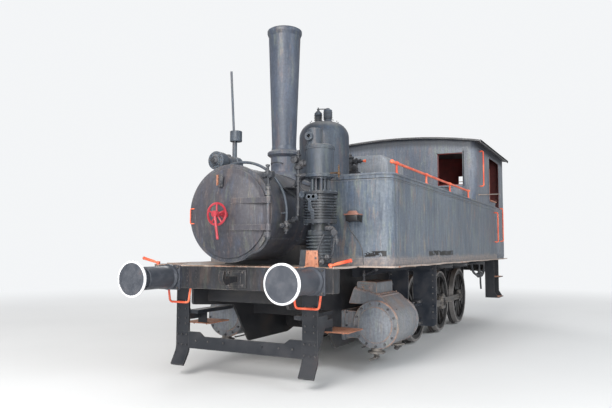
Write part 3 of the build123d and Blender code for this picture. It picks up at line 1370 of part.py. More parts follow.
def cab_side(side):
    """Side sheet over the tank, cut out for the side opening and the doorway behind it."""
    t = CAB_SHEET
    x0, x1 = at(CAB_REAR), at(CAB_STATION + CAB_RETURN) - SEAT_GAP
    low = up(TANK_TOP) + SEAT_GAP
    sheet = block((x0, x1), (CAB_HALF_WIDTH - t, CAB_HALF_WIDTH), (low, up(ROOF_APEX)))
    post = block(
        (x0, at(TANK_REAR) - SEAT_GAP), (CAB_HALF_WIDTH - t, CAB_HALF_WIDTH), (up(RUNNING_PLATE_HEIGHT) + SEAT_GAP, low + 1)
    )
    sheet = (sheet + post) & under_roof(x0 - 1, x1 + 1, CAB_HALF_WIDTH + 1, up(RUNNING_PLATE_HEIGHT))
    opening = prism(
        "Y",
        [(at(SIDE_OPENING_STATION), up(SIDE_OPENING_BOTTOM), 30),
         (at(SIDE_OPENING_STATION), up(SIDE_OPENING_TOP), 60),
         (at(CAB_DOOR_STATION + CAB_DOOR_WIDTH), up(SIDE_OPENING_TOP), 60),
         (at(CAB_DOOR_STATION + CAB_DOOR_WIDTH), up(SIDE_OPENING_BOTTOM))],
        CAB_HALF_WIDTH - 50,
        CAB_HALF_WIDTH + 50,
    )
    doorway = block(
        (at(CAB_DOOR_STATION), at(CAB_DOOR_STATION + CAB_DOOR_WIDTH)),
        (CAB_HALF_WIDTH - 50, CAB_HALF_WIDTH + 50),
        (up(RUNNING_PLATE_HEIGHT + FLOOR_THICKNESS), up(SIDE_OPENING_BOTTOM + 60)),
    )
    sheet = sheet - opening - doorway
    pin_x, pin_y, heights = door_hinge()
    jamb = at(CAB_DOOR_STATION + CAB_DOOR_WIDTH)
    for z in heights:
        for level in (-1, 1):
            near = z + level * (DOOR_EYE_HALF + 2)
            far = z + level * (DOOR_EYE_HALF + 16)
            sheet += block((jamb - 46, jamb - 4), (pin_y, CAB_HALF_WIDTH - t), (near, far))
            sheet += block((jamb - 46, pin_x), (pin_y - 8, pin_y + 8), (near, far))
            sheet += rod((pin_x, pin_y, near), (pin_x, pin_y, far), DOOR_EYE_RADIUS - 3)
        sheet += rod((pin_x, pin_y, z - DOOR_EYE_HALF - 8), (pin_x, pin_y, z + DOOR_EYE_HALF + 8), DOOR_PIN_RADIUS)
    return [sheet if side == 1 else mirror(sheet, about=Plane.XZ)]


def door_hinge():
    """X and Y of the hinge pins of the left cab door, and the height of each."""
    x = at(CAB_DOOR_STATION + CAB_DOOR_WIDTH) + DOOR_PIN_RADIUS / 2
    y = CAB_HALF_WIDTH - CAB_DOOR_THICKNESS - DOOR_EYE_RADIUS
    low, high = RUNNING_PLATE_HEIGHT + FLOOR_THICKNESS, CAB_DOOR_TOP
    return x, y, (up(low + 150), up((low + high) / 2), up(high - 150))


def cab_door(side):
    """Door hinged at its rear edge, that swings into the cab."""
    gap = RUNNING_GAP
    x0, x1 = at(CAB_DOOR_STATION + CAB_DOOR_WIDTH) + gap, at(CAB_DOOR_STATION) - gap
    y0, y1 = CAB_HALF_WIDTH - CAB_DOOR_THICKNESS, CAB_HALF_WIDTH
    low, high = up(RUNNING_PLATE_HEIGHT + FLOOR_THICKNESS) + gap, up(CAB_DOOR_TOP) - gap
    door = block((x0, x1), (y0, y1), (low, high))
    door -= block((x0 + 60, x1 - 60), (y1 - 6, y1 + 1), (low + 70, (low + high) / 2 - 40))
    door -= block((x0 + 60, x1 - 60), (y1 - 6, y1 + 1), ((low + high) / 2 + 40, high - 70))
    pin_x, pin_y, heights = door_hinge()
    for z in heights:
        door += block((pin_x, pin_x + 60), (y0 - DOOR_LEAF, y0), (z - DOOR_EYE_HALF, z + DOOR_EYE_HALF))
        door += rod((pin_x, pin_y, z - DOOR_EYE_HALF), (pin_x, pin_y, z + DOOR_EYE_HALF), DOOR_EYE_RADIUS)
        door += block((pin_x, pin_x + 10), (pin_y, y0), (z - DOOR_EYE_HALF, z + DOOR_EYE_HALF))
        door -= rod((pin_x, pin_y, z - 60), (pin_x, pin_y, z + 60), DOOR_PIN_RADIUS + PIN_GAP)
    door += rod((x1 - 70, y0 - 40, (low + high) / 2), (x1 - 70, y1 + 30, (low + high) / 2), 9)
    door += block((x1 - 150, x1 - 58), (y1 + 22, y1 + 34), ((low + high) / 2 - 10, (low + high) / 2 + 10))
    return [door if side == 1 else mirror(door, about=Plane.XZ)]


def cab_rear():
    """Rear sheet with two windows."""
    t = CAB_SHEET
    x = at(CAB_REAR)
    half = CAB_HALF_WIDTH - t - SEAT_GAP
    sheet = block((x, x + t), (-half, half), (up(RUNNING_PLATE_HEIGHT) + SEAT_GAP, up(ROOF_APEX)))
    sheet = sheet & under_roof(x - 1, x + t + 1, half + 1, up(RUNNING_PLATE_HEIGHT))
    for side in (-1, 1):
        y0, y1 = side * REAR_WINDOW_INNER, side * (REAR_WINDOW_INNER + WINDOW_WIDTH)
        sheet -= block((x - 50, x + 50), (y0, y1), (up(WINDOW_BOTTOM - 100), up(WINDOW_TOP - 100)))
    return [sheet]


def cab_floor():
    """Planked floor between the tanks and across the doorways."""
    low, high = up(RUNNING_PLATE_HEIGHT) + SEAT_GAP, up(RUNNING_PLATE_HEIGHT + FLOOR_THICKNESS) - SEAT_GAP
    inner = TANK_INNER - SEAT_GAP
    half = CAB_HALF_WIDTH - CAB_SHEET - SEAT_GAP
    rear = at(CAB_REAR) + CAB_SHEET + SEAT_GAP
    outline = [
        (at(FIREBOX_REAR) - SEAT_GAP, -inner), (at(FIREBOX_REAR) - SEAT_GAP, inner), (at(TANK_REAR) - SEAT_GAP, inner),
        (at(TANK_REAR) - SEAT_GAP, half), (rear, half), (rear, -half), (at(TANK_REAR) - SEAT_GAP, -half),
        (at(TANK_REAR) - SEAT_GAP, -inner),
    ]
    return [prism("Z", outline, low, high)]


def cab_roof():
    """Arched roof sheet with a drip edge along its eaves."""
    x0, x1 = at(CAB_REAR + ROOF_REAR_OVERHANG), at(CAB_STATION - ROOF_FRONT_OVERHANG)
    centre = up(ROOF_APEX) - ROOF_RADIUS
    half = ROOF_HALF_WIDTH
    ring = turning(
        [(ROOF_RADIUS - ROOF_SHEET, 0), (ROOF_RADIUS, 0), (ROOF_RADIUS, x1 - x0), (ROOF_RADIUS - ROOF_SHEET, x1 - x0)],
        (x0, 0, centre),
        (1, 0, 0),
    )
    roof = ring & block((x0 - 1, x1 + 1), (-half, half), (up(ROOF_EAVE - 200), up(ROOF_APEX + 50)))
    for side in (-1, 1):
        z = up(ROOF_EAVE)
        roof += block((x0, x1), (side * half, side * (half - 14)), (z - 34, z - 6))
    return [roof]


def cab_handrails():
    """Upright grab rails at the cab corner and on both sides of the doorway."""
    solids = []
    reach = GRAB_RAIL_REACH
    for _, station, low, high, y in GRAB_RAILS:
        x = at(station)
        solids.append(bent_bar(
            [(x, y + SEAT_GAP, up(low)), (x, y + reach, up(low)), (x, y + reach, up(high)), (x, y + SEAT_GAP, up(high))],
            24,
            12,
        ))
    return both_sides(solids)


def backhead():
    """Firebox back fittings seen through the cab openings."""
    x = at(FIREBOX_REAR) - SEAT_GAP
    z = up(BOILER_HEIGHT)
    door_ring = turning([(0, 0), (190, 0), (190, 24, 6), (150, 30), (150, 44, 8), (0, 48)], (x, 0, up(1480)), (-1, 0, 0))
    regulator = rod((x, 0, z + 240), (x - 150, 0, z + 240), 30) + rod((x - 130, 0, z + 240), (x - 130, 330, z + 120), 14)
    gauges = []
    for y in (-260, 250):
        glass = rod((x - 60, y, z - 40), (x - 60, y, z + 230), 14)
        for height in (z - 30, z + 220):
            glass += rod((x, y, height), (x - 70, y, height), 20)
        gauges.append(glass)
    return [door_ring, regulator] + gauges


def reverser():
    """Screw reverser pillar with its handwheel on the right of the footplate."""
    x, y = at(FIREBOX_REAR + 420), -TANK_INNER + 205
    low = up(RUNNING_PLATE_HEIGHT + FLOOR_THICKNESS)
    pillar = turning([(0, 0), (90, 0), (90, 20), (40, 40), (34, 840), (0, 840)], (x, y, low), (0, 0, 1))
    pillar += block((x - 60, x + 60), (y - 44, y + 44), (low + 830, low + 930))
    pillar += rod((x, y, low + 880), (x - 170, y, low + 880), 22)
    wheel_x = x - 150
    pillar += hand_ring((wheel_x, y, low + 880), 184, 13)
    for index in range(4):
        turn = radians(45 + 90 * index)
        pillar += rod((wheel_x, y, low + 880), (wheel_x, y + 170 * cos(turn), low + 880 + 170 * sin(turn)), 10)
    return [pillar]


def smokebox_pipe():
    """Steam pipe that wraps over the smokebox from the generator to the valves on its left side."""
    z = up(BOILER_HEIGHT)
    x = at(SMOKEBOX_STATION + 215)
    radius = SMOKEBOX_RADIUS + 62
    arc = CenterArc((0, 0), radius, -8, 116)
    path = Plane(origin=(x, 0, z), x_dir=(0, 1, 0), z_dir=(1, 0, 0)) * arc
    pipe = sweep(Plane(origin=path @ 0, z_dir=path % 0) * Circle(15), path)
    for turn in (0, 50, 100):
        inner = SMOKEBOX_RADIUS + SEAT_GAP
        y0, z0 = inner * cos(radians(turn)), z + inner * sin(radians(turn))
        y1, z1 = radius * cos(radians(turn)), z + radius * sin(radians(turn))
        pipe += rod((x, y0, z0), (x, y1, z1), 11)
    return [pipe]


def shunter_rails():
    """Bent hand bar that hangs below the front beam on each side."""
    x, top = at(BUFFER_REACH + 60), up(BEAM_BOTTOM) - SEAT_GAP
    outer, inner, low = 950, 664, up(776)
    rail = bent_bar([(x, outer, top + 30), (x, outer - 30, low), (x, inner, low), (x, inner - 30, top + 30)], 36, 12)
    rail -= block((x - 60, x + 60), (inner - 90, outer + 60), (top, top + 90))
    return both_sides([rail])


NODES = {
    "main_frames": lambda: main_frames() + smokebox_saddle(),
    "buffer_beams": lambda: buffer_beam(True) + buffer_beam(False) + draw_hooks(),
    "buffers": lambda: buffer_housings() + buffer_heads(),
    "running_plate": lambda: running_plate() + tank_brackets(),
    "front_guards": lambda: rail_guards() + guard_cross_plate() + front_steps(),
    "rear_steps": rear_steps,
    "axle_boxes": lambda: axle_boxes() + springs(),
    "brake_gear": brake_gear,
    "leading_wheels": lambda: wheels(LEADING_STATION, False),
    "leading_axle": lambda: axle(LEADING_STATION),
    "driving_wheels": lambda: wheels(DRIVING_STATION, True),
    "driving_axle": lambda: axle(DRIVING_STATION),
    "trailing_wheels": lambda: wheels(TRAILING_STATION, False),
    "trailing_axle": lambda: axle(TRAILING_STATION),
    "left_coupling_rod": lambda: coupling_rod(1, LEFT_CRANK),
    "right_coupling_rod": lambda: coupling_rod(-1, RIGHT_CRANK),
    "left_connecting_rod": lambda: connecting_rod(1, LEFT_CRANK),
    "right_connecting_rod": lambda: connecting_rod(-1, RIGHT_CRANK),
    "left_crosshead": lambda: crosshead(1, LEFT_CRANK),
    "right_crosshead": lambda: crosshead(-1, RIGHT_CRANK),
    "cylinders": lambda: cylinder(1) + steam_chest(1) + cylinder(-1) + steam_chest(-1),
    "slide_bars": lambda: slide_bars() + motion_plates(),
    "smokebox": lambda: smokebox() + hinge_rod(),
    "smokebox_door": smokebox_door,
    "door_handwheel": door_handwheel,
    "boiler": boiler,
    "firebox": lambda: firebox() + ash_pan(),
    "chimney": lambda: chimney() + chimney_base(),
    "dome": lambda: dome() + safety_valves(),
    "sandbox": sandbox,
    "generator": lambda: generator() + exhaust_pipe() + smokebox_pipe(),
    "compressor_air_cylinders": lambda: compressor_air_cylinders() + compressor_bracket(),
    "compressor_steam_cylinder": lambda: compressor_steam_cylinder() + compressor_frame(),
    "side_tanks": lambda: tank(1) + tank(-1),
    "left_filler_lid": lambda: filler_lid(1),
    "right_filler_lid": lambda: filler_lid(-1),
    "handrails": lambda: tank_handrails() + cab_handrails() + shunter_rails(),
    "cab_front": cab_front,
    "cab_sides": lambda: cab_side(1) + cab_side(-1),
    "left_cab_door": lambda: cab_door(1),
    "right_cab_door": lambda: cab_door(-1),
    "cab_rear": cab_rear,
    "cab_floor": cab_floor,
    "cab_roof": cab_roof,
    "cab_fittings": lambda: backhead() + reverser(),
}

os.makedirs("parts", exist_ok=True)
for name, build in NODES.items():
    export_step(Compound(build()), f"parts/{name}.step")
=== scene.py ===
"""Side-tank steam locomotive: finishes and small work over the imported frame.

Lengths in the classes are millimetres along the engine: station counts back from
the front buffer faces, side is left of the centre line, height is above the rail.
"""

import logging
from dataclasses import dataclass, replace
from enum import Enum
from math import cos, radians, sin, sqrt, tau

import bmesh
import bpy
from mathutils import Matrix, Vector


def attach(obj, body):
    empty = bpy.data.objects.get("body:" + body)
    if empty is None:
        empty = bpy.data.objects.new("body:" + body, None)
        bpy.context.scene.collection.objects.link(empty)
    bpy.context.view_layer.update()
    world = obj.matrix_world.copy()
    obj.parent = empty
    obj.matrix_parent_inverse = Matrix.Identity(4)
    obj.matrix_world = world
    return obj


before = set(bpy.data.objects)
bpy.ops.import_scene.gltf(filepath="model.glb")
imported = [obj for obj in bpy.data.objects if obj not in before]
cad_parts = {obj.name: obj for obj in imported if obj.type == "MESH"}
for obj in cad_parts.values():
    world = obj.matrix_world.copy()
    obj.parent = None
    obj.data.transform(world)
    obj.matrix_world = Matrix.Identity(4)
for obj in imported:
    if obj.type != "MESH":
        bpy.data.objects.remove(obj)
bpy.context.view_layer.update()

log = logging.getLogger("locomotive")
Colour = tuple[float, float, float]
Range = tuple[float, float]
Socket = bpy.types.NodeSocket

FRONT_X = 4.4
RAIL_TOP = 0.03
BOILER_HEIGHT = 1722.0
AXLE_HEIGHT = 500.0
AXLES = {"leading": 4150, "driving": 5500, "trailing": 6850}
CRANKS = {1: 0.0, -1: 270.0}
SIDES = ((1, "left"), (-1, "right"))
SHARP_ANGLE = radians(38)
UP = Vector((0, 0, 1))
AHEAD = Vector((1, 0, 0))
LEFT = Vector((0, 1, 0))


def spot(station: float, side: float, height: float) -> Vector:
    """Point on the engine in metres of the row frame.

    Args:
        station: distance back from the front buffer faces, in mm.
        side: distance left of the centre line, in mm.
        height: height above the rail, in mm.

    Returns:
        The point as a vector in metres.
    """
    return Vector((FRONT_X - station / 1000, side / 1000, RAIL_TOP + height / 1000))


def path(*corners: tuple[float, float, float]) -> list[Vector]:
    """Points from their stations, sides and heights in mm."""
    return [spot(*corner) for corner in corners]


def linear(value: int) -> float:
    """Linear value of one 8-bit channel."""
    part = value / 255
    return part / 12.92 if part <= 0.04045 else ((part + 0.055) / 1.055) ** 2.4


def srgb(red: int, green: int, blue: int) -> Colour:
    """Linear colour of an 8-bit display colour."""
    return linear(red), linear(green), linear(blue)


# Node wiring


class Wiring:
    """Short calls that build one node tree."""

    def __init__(self, tree: bpy.types.NodeTree) -> None:
        """Keeps the tree that the calls build."""
        self.tree = tree

    def put(self, socket: Socket, value: object) -> None:
        """Links a socket or sets its value.

        Args:
            socket: the input to feed.
            value: another socket, a number, a vector or a colour.
        """
        if isinstance(value, Socket):
            self.tree.links.new(value, socket)
        elif isinstance(value, tuple) and socket.type == "RGBA":
            socket.default_value = (*value[:3], 1.0)
        else:
            socket.default_value = value

    def node(self, kind: str, inputs: dict | None = None, **settings: object) -> bpy.types.Node:
        """Adds a node.

        Args:
            kind: the node's type name without its ShaderNode prefix.
            inputs: values or sockets by input name or number.
            settings: properties set on the node.

        Returns:
            The new node.
        """
        made = self.tree.nodes.new("ShaderNode" + kind)
        for name, value in settings.items():
            setattr(made, name, value)
        for name, value in (inputs or {}).items():
            self.put(made.inputs[name], value)
        return made

    def math(self, operation: str, first: object, second: object = 0.0, clamp: bool = False) -> Socket:
        """Result of a math node."""
        return self.node("Math", {0: first, 1: second}, operation=operation, use_clamp=clamp).outputs[0]

    def times(self, first: object, second: object, clamp: bool = False) -> Socket:
        """Product of two values."""
        return self.math("MULTIPLY", first, second, clamp)

    def plus(self, first: object, second: object, clamp: bool = False) -> Socket:
        """Sum of two values."""
        return self.math("ADD", first, second, clamp)

    def minus(self, first: object, second: object) -> Socket:
        """Difference of two values."""
        return self.math("SUBTRACT", first, second)

    def reach(self, first: Socket, second: Socket) -> Socket:
        """Length of two parts square to each other."""
        return self.math("SQRT", self.plus(self.times(first, first), self.times(second, second)))

    def blend(self, factor: object, first: object, second: object) -> Socket:
        """Value between two values."""
        return self.node("Mix", {0: factor, 2: first, 3: second}, data_type="FLOAT").outputs[0]

    def mix(self, factor: object, first: object, second: object, blend: str = "MIX") -> Socket:
        """Colour between two colours."""
        inputs = {0: factor, 6: first, 7: second}
        return self.node("Mix", inputs, data_type="RGBA", blend_type=blend).outputs[2]

    def between(self, value: Socket, levels: Range, soft: float) -> Socket:
        """Mask of the values between two levels."""
        low, high = (self.step(value, level, level + soft) for level in levels)
        return self.times(low, self.minus(1.0, high))

    def axes(self) -> bpy.types.bpy_prop_collection:
        """Object coordinates along x, y and z, in metres."""
        return self.node("SeparateXYZ", {0: self.node("TexCoord").outputs["Object"]}).outputs

    def place(self, scale: Colour = (1.0, 1.0, 1.0), shift: Colour = (0.0, 0.0, 0.0)) -> Socket:
        """Object coordinates in metres, scaled along each axis."""
        where = self.node("TexCoord").outputs["Object"]
        return self.node("Mapping", {0: where, "Location": shift, "Scale": scale}).outputs[0]

    def noise(self, where: Socket, scale: object, detail: float = 4.0, rough: float = 0.55) -> Socket:
        """Value of a noise texture."""
        inputs = {"Vector": where, "Scale": scale, "Detail": detail, "Roughness": rough}
        return self.node("TexNoise", inputs).outputs[0]

    def step(self, value: object, low: object, high: object, to_low: float = 0.0,
            to_high: float = 1.0) -> Socket:
        """Smooth step of a value from one level to another."""
        inputs = {0: value, 1: low, 2: high, 3: to_low, 4: to_high}
        return self.node("MapRange", inputs, interpolation_type="SMOOTHSTEP").outputs[0]


COLOUR_ROUGH_HEIGHT = {"Color": "Color", "Roughness": "Float", "Height": "Float"}
MASK = {"Mask": "Float"}


def effect(
    name: str, inputs: dict[str, object], outputs: dict[str, str],
) -> tuple[Wiring, bpy.types.bpy_prop_collection, bpy.types.Node]:
    """Starts a shared node group.

    Args:
        name: the group's name.
        inputs: start value of each named input, a tuple for a colour.
        outputs: socket type of each named output.

    Returns:
        The group's wiring, the sockets of its inputs and its output node.
    """
    tree = bpy.data.node_groups.new(name, "ShaderNodeTree")
    for title, value in inputs.items():
        kind = "NodeSocketColor" if isinstance(value, tuple) else "NodeSocketFloat"
        socket = tree.interface.new_socket(name=title, in_out="INPUT", socket_type=kind)
        socket.default_value = (*value, 1.0) if isinstance(value, tuple) else value
    for title, kind in outputs.items():
        tree.interface.new_socket(name=title, in_out="OUTPUT", socket_type="NodeSocket" + kind)
    return Wiring(tree), tree.nodes.new("NodeGroupInput").outputs, tree.nodes.new("NodeGroupOutput")


def finished(wires: Wiring, out: bpy.types.Node, **values: Socket) -> bpy.types.NodeTree:
    """Links the named outputs of a group.

    Args:
        wires: the group's wiring.
        out: its output node.
        values: the socket behind each output.

    Returns:
        The group's node tree.
    """
    for title, value in values.items():
        wires.tree.links.new(value, out.inputs[title])
    return wires.tree


RUST_DARK = srgb(92, 56, 42)
RUST_LIGHT = srgb(176, 116, 84)
# Near black of the rust holes: painted shade of the tank's dark inside.
RUST_HOLE_SHADE = srgb(14, 13, 15)
RUST_FOOT = (srgb(112, 106, 106), srgb(150, 134, 124))
HOLE_LEVELS = (1.312, 1.37)
HOLES_ACROSS = (1.14, 1.38)
HOLES_ALONG = (0.56, 1.76)
RAIN_STAINS = ((srgb(84, 106, 138), 11.0), (srgb(150, 158, 130), 23.0), (srgb(158, 124, 102), 37.0))
DARK_RUN = srgb(56, 66, 84)
PALE_RUN = srgb(182, 186, 188)
BRAKE_DUST = srgb(140, 128, 118)
POLISHED = srgb(150, 146, 144)
TREAD = (0.462, 0.5005)
# Dark blue-grey of the painted shade under the running plate.
UNDERSIDE_SHADE = srgb(40, 44, 52)
# Tone of the painted roof shadow: a dark band along the top of the cab sheets.
ROOF_SHADOW_TONE = srgb(34, 38, 46)
ROOF_CURVE = 1 / 17.3
SKY = (0.97, 0.985, 1.0)


def streaked_paint_group() -> bpy.types.NodeTree:
    """Old sheet paint: faded blotches, rain streaks down the plate and patches of rust.

    Returns:
        The group, whose Color, Roughness, Rust and Height vary over the surface.
    """
    start = {"Paint": (0.2, 0.2, 0.2), "Faded": (0.3, 0.3, 0.3), "Streaks": 0.5, "Rust Amount": 0.3,
        "Grain": 1.0}
    wires, given, out = effect("streaked_paint", start,
        {"Color": "Color", "Roughness": "Float", "Rust": "Float", "Height": "Float"})
    plain = wires.place()
    broad = wires.noise(plain, 1.6, 5.0)
    runs = wires.noise(wires.place((15.0, 15.0, 1.1)), 1.0, 6.0, 0.7)
    fine_runs = wires.noise(wires.place((62.0, 62.0, 3.4), (3.0, 1.0, 7.0)), 1.0, 5.0, 0.7)
    speck = wires.noise(plain, 38.0, 4.0, 0.7)
    streaks = given["Streaks"]
    mixed = wires.blend(wires.times(streaks, 0.45), broad, runs)
    faded = wires.step(mixed, 0.36, 0.64)
    colour = wires.mix(faded, given["Paint"], given["Faded"])
    for tone, shift in RAIN_STAINS:
        stain = wires.noise(wires.place((11.0, 11.0, 2.2), (shift, shift, 0.0)), 1.0, 5.0, 0.72)
        stain = wires.times(wires.step(stain, 0.52, 0.66), streaks)
        colour = wires.mix(wires.times(stain, 0.42), colour, tone)
    dark_run = wires.times(wires.step(fine_runs, 0.5, 0.36), streaks)
    colour = wires.mix(wires.times(dark_run, 0.62), colour, DARK_RUN)
    pale_run = wires.times(wires.step(fine_runs, 0.58, 0.7), streaks)
    colour = wires.mix(wires.times(pale_run, 0.45), colour, PALE_RUN)
    colour = wires.mix(0.4, colour, wires.mix(wires.step(speck, 0.3, 0.72), srgb(132, 134, 138),
        srgb(250, 250, 250)), "MULTIPLY")
    patch = wires.noise(wires.place((1.0, 1.0, 0.55), (5.0, 2.0, 1.0)), 3.2, 9.0, 0.68)
    patch = wires.plus(patch, wires.times(wires.minus(runs, 0.5), 0.35))
    limit = wires.minus(0.82, wires.times(given["Rust Amount"], 0.4))
    rust = wires.step(patch, limit, wires.plus(limit, 0.06))
    rust_colour = wires.mix(wires.step(speck, 0.35, 0.65), RUST_DARK, RUST_LIGHT)
    colour = wires.mix(wires.times(rust, 0.85), colour, rust_colour)
    rough = wires.plus(wires.step(broad, 0.3, 0.7, 0.42, 0.58), wires.times(rust, 0.3))
    grain = wires.times(speck, given["Grain"])
    height = wires.plus(wires.times(rust, 0.35), wires.times(grain, 0.25))
    height = wires.plus(height, wires.times(broad, 1.2))
    return finished(wires, out, Color=colour, Roughness=rough, Rust=rust, Height=height)


def edge_wear_group() -> bpy.types.NodeTree:
    """Mask of rubbed edges and corners, broken up by noise.

    Returns:
        The group's node tree.
    """
    wires, given, out = effect("edge_wear", {"Width": 0.006, "Amount": 0.6}, MASK)
    round_normal = wires.node("Bevel", {"Radius": given["Width"]}, samples=4).outputs[0]
    true_normal = wires.node("NewGeometry").outputs["Normal"]
    turn = wires.node("VectorMath", {0: round_normal, 1: true_normal},
        operation="DOT_PRODUCT").outputs["Value"]
    edge = wires.step(turn, 0.985, 0.86)
    broken = wires.step(wires.noise(wires.place(), 9.0, 5.0, 0.65), 0.36, 0.62)
    mask = wires.times(wires.times(edge, broken), given["Amount"], True)
    return finished(wires, out, Mask=mask)


def settled_dust_group() -> bpy.types.NodeTree:
    """Mask of dust and ash lying on surfaces that face up.

    Returns:
        The group's node tree.
    """
    wires, given, out = effect("settled_dust", {"Amount": 0.5}, MASK)
    up = wires.node("SeparateXYZ", {0: wires.node("NewGeometry").outputs["Normal"]}).outputs[2]
    cloud = wires.step(wires.noise(wires.place(), 5.0, 5.0), 0.25, 0.6)
    mask = wires.times(wires.step(up, 0.45, 0.95), cloud)
    return finished(wires, out, Mask=wires.times(mask, given["Amount"], True))


def greasy_iron_group() -> bpy.types.NodeTree:
    """Iron under a skin of oil and brake dust.

    Returns:
        The group's node tree.
    """
    start = {"Iron": (0.05, 0.05, 0.05), "Grease": (0.1, 0.09, 0.08), "Scale": 6.0}
    wires, given, out = effect("greasy_iron", start, COLOUR_ROUGH_HEIGHT)
    plain = wires.place()
    blot = wires.noise(plain, given["Scale"], 6.0, 0.62)
    grain = wires.noise(plain, 70.0, 3.0, 0.6)
    colour = wires.mix(wires.step(blot, 0.42, 0.66), given["Iron"], given["Grease"])
    colour = wires.mix(wires.times(wires.step(blot, 0.6, 0.74), 0.25), colour, RUST_DARK)
    rough = wires.step(blot, 0.3, 0.7, 0.34, 0.7)
    height = wires.plus(wires.times(grain, 0.4), blot)
    return finished(wires, out, Color=colour, Roughness=rough, Height=height)


def chipped_paint_group() -> bpy.types.NodeTree:
    """Bright paint with chips down to rusty metal and faded patches.

    Returns:
        The group's node tree.
    """
    start = {"Paint": (0.6, 0.1, 0.05), "Faded": (0.7, 0.2, 0.1), "Bare": RUST_DARK, "Chips": 0.3}
    wires, given, out = effect("chipped_paint", start, COLOUR_ROUGH_HEIGHT)
    plain = wires.place()
    worn = wires.noise(plain, 16.0, 7.0, 0.7)
    colour = wires.mix(wires.step(wires.noise(plain, 7.0, 4.0), 0.35, 0.65), given["Paint"],
        given["Faded"])
    limit = wires.minus(0.78, wires.times(given["Chips"], 0.4))
    chip = wires.step(worn, limit, wires.plus(limit, 0.03))
    colour = wires.mix(chip, colour, given["Bare"])
    rough = wires.plus(0.38, wires.times(chip, 0.4))
    height = wires.minus(wires.times(worn, 0.3), wires.times(chip, 0.3))
    return finished(wires, out, Color=colour, Roughness=rough, Height=height)


def level_band_group() -> bpy.types.NodeTree:
    """Mask of a level band on a plate, with a ragged border.

    Returns:
        The group's node tree.
    """
    start = {"Low": 0.0, "High": 1.0, "Softness": 0.05, "Ragged": 0.05}
    wires, given, out = effect("level_band", start, MASK)
    height = wires.axes()[2]
    wave = wires.minus(wires.noise(wires.place((4.0, 4.0, 1.5)), 1.0, 6.0, 0.65), 0.5)
    height = wires.plus(height, wires.times(wave, given["Ragged"]))
    soft = given["Softness"]
    above = wires.step(height, wires.minus(given["Low"], soft), wires.plus(given["Low"], soft))
    below = wires.step(height, wires.plus(given["High"], soft), wires.minus(given["High"], soft))
    return finished(wires, out, Mask=wires.times(above, below))


def inner_room_group() -> bpy.types.NodeTree:
    """Mask of the faces that lie inside the cab, whose front corners are round.

    Returns:
        The group's node tree.
    """
    start = {"Front": -1.086, "Rear": -3.644, "Half Width": 1.434, "Corner": 0.114}
    wires, given, out = effect("inner_room", start, MASK)
    parts = wires.axes()
    corner = given["Corner"]
    ahead = wires.minus(parts[0], wires.minus(given["Front"], corner))
    across = wires.minus(wires.math("ABSOLUTE", parts[1]), wires.minus(given["Half Width"], corner))
    ahead, across = (wires.math("MAXIMUM", value, 0.0) for value in (ahead, across))
    reach = wires.reach(ahead, across)
    behind = wires.math("GREATER_THAN", parts[0], given["Rear"])
    return finished(wires, out, Mask=wires.times(wires.math("LESS_THAN", reach, corner), behind))


def round_mark_group() -> bpy.types.NodeTree:
    """Mask of a ring around an axle or buffer: 1 between two radii.

    Returns:
        The group's node tree.
    """
    start = {"X": 0.0, "Y": 0.0, "Z": 0.0, "Inner": 0.1, "Outer": 0.2, "Along Y": 0.0}
    wires, given, out = effect("round_mark", start, MASK)
    parts = wires.axes()
    shift = [wires.minus(parts[index], given[name]) for index, name in enumerate("XYZ")]
    side = wires.math("ABSOLUTE", parts[1])
    shift[1] = wires.minus(side, given["Y"])
    flat = wires.blend(given["Along Y"], shift[1], shift[0])
    reach = wires.reach(flat, shift[2])
    inside = wires.math("GREATER_THAN", reach, given["Inner"])
    mask = wires.times(inside, wires.math("LESS_THAN", reach, given["Outer"]))
    return finished(wires, out, Mask=mask)


class Effect(Enum):
    """Shared effects, each a node group."""

    STREAKED_PAINT = "streaked_paint"
    EDGE_WEAR = "edge_wear"
    SETTLED_DUST = "settled_dust"
    GREASY_IRON = "greasy_iron"
    CHIPPED_PAINT = "chipped_paint"
    LEVEL_BAND = "level_band"
    INNER_ROOM = "inner_room"
    ROUND_MARK = "round_mark"


EFFECT_BUILDERS = {
    Effect.STREAKED_PAINT: streaked_paint_group,
    Effect.EDGE_WEAR: edge_wear_group,
    Effect.SETTLED_DUST: settled_dust_group,
    Effect.GREASY_IRON: greasy_iron_group,
    Effect.CHIPPED_PAINT: chipped_paint_group,
    Effect.LEVEL_BAND: level_band_group,
    Effect.INNER_ROOM: inner_room_group,
    Effect.ROUND_MARK: round_mark_group,
}


# Finishes


class MaterialWiring(Wiring):
    """Wiring of one material with its Principled shader."""

    def __init__(self, name: str) -> None:
        """Starts an empty material.

        Args:
            name: the material's name.
        """
        self.material = bpy.data.materials.new(name)
        self.material.use_nodes = True
        super().__init__(self.material.node_tree)
        self.shader = self.tree.nodes["Principled BSDF"]

    def effect(self, which: Effect, inputs: dict[str, object]) -> bpy.types.bpy_prop_collection:
        """Places a shared effect in the material.

        Args:
            which: the effect.
            inputs: its values by input name.

        Returns:
            The effect's output sockets.
        """
        known = bpy.data.node_groups.get(which.value) or EFFECT_BUILDERS[which]()
        made = self.tree.nodes.new("ShaderNodeGroup")
        made.node_tree = known
        for name, value in inputs.items():
            self.put(made.inputs[name], value)
        return made.outputs

    def under(self, which: Effect, colour: Socket, tone: object, **inputs: object) -> Socket:
        """Colour under a tone that the mask of an effect lays on."""
        return self.mix(self.effect(which, inputs)[0], colour, tone)

    def close(self, colour: object, rough: object, height: object, depth: float,
            metal: float = 0.0) -> bpy.types.Material:
        """Feeds the shader.

        Args:
            colour: base colour socket.
            rough: roughness socket or value.
            height: height socket of the bump.
            depth: depth of the bump in metres.
            metal: metallic value.

        Returns:
            The finished material.
        """
        self.put(self.shader.inputs["Base Color"], colour)
        self.put(self.shader.inputs["Roughness"], rough)
        self.shader.inputs["Metallic"].default_value = metal
        bump = self.node("Bump", {"Height": height, "Distance": depth, "Strength": 0.6})
        self.put(self.shader.inputs["Normal"], bump.outputs[0])
        return self.material


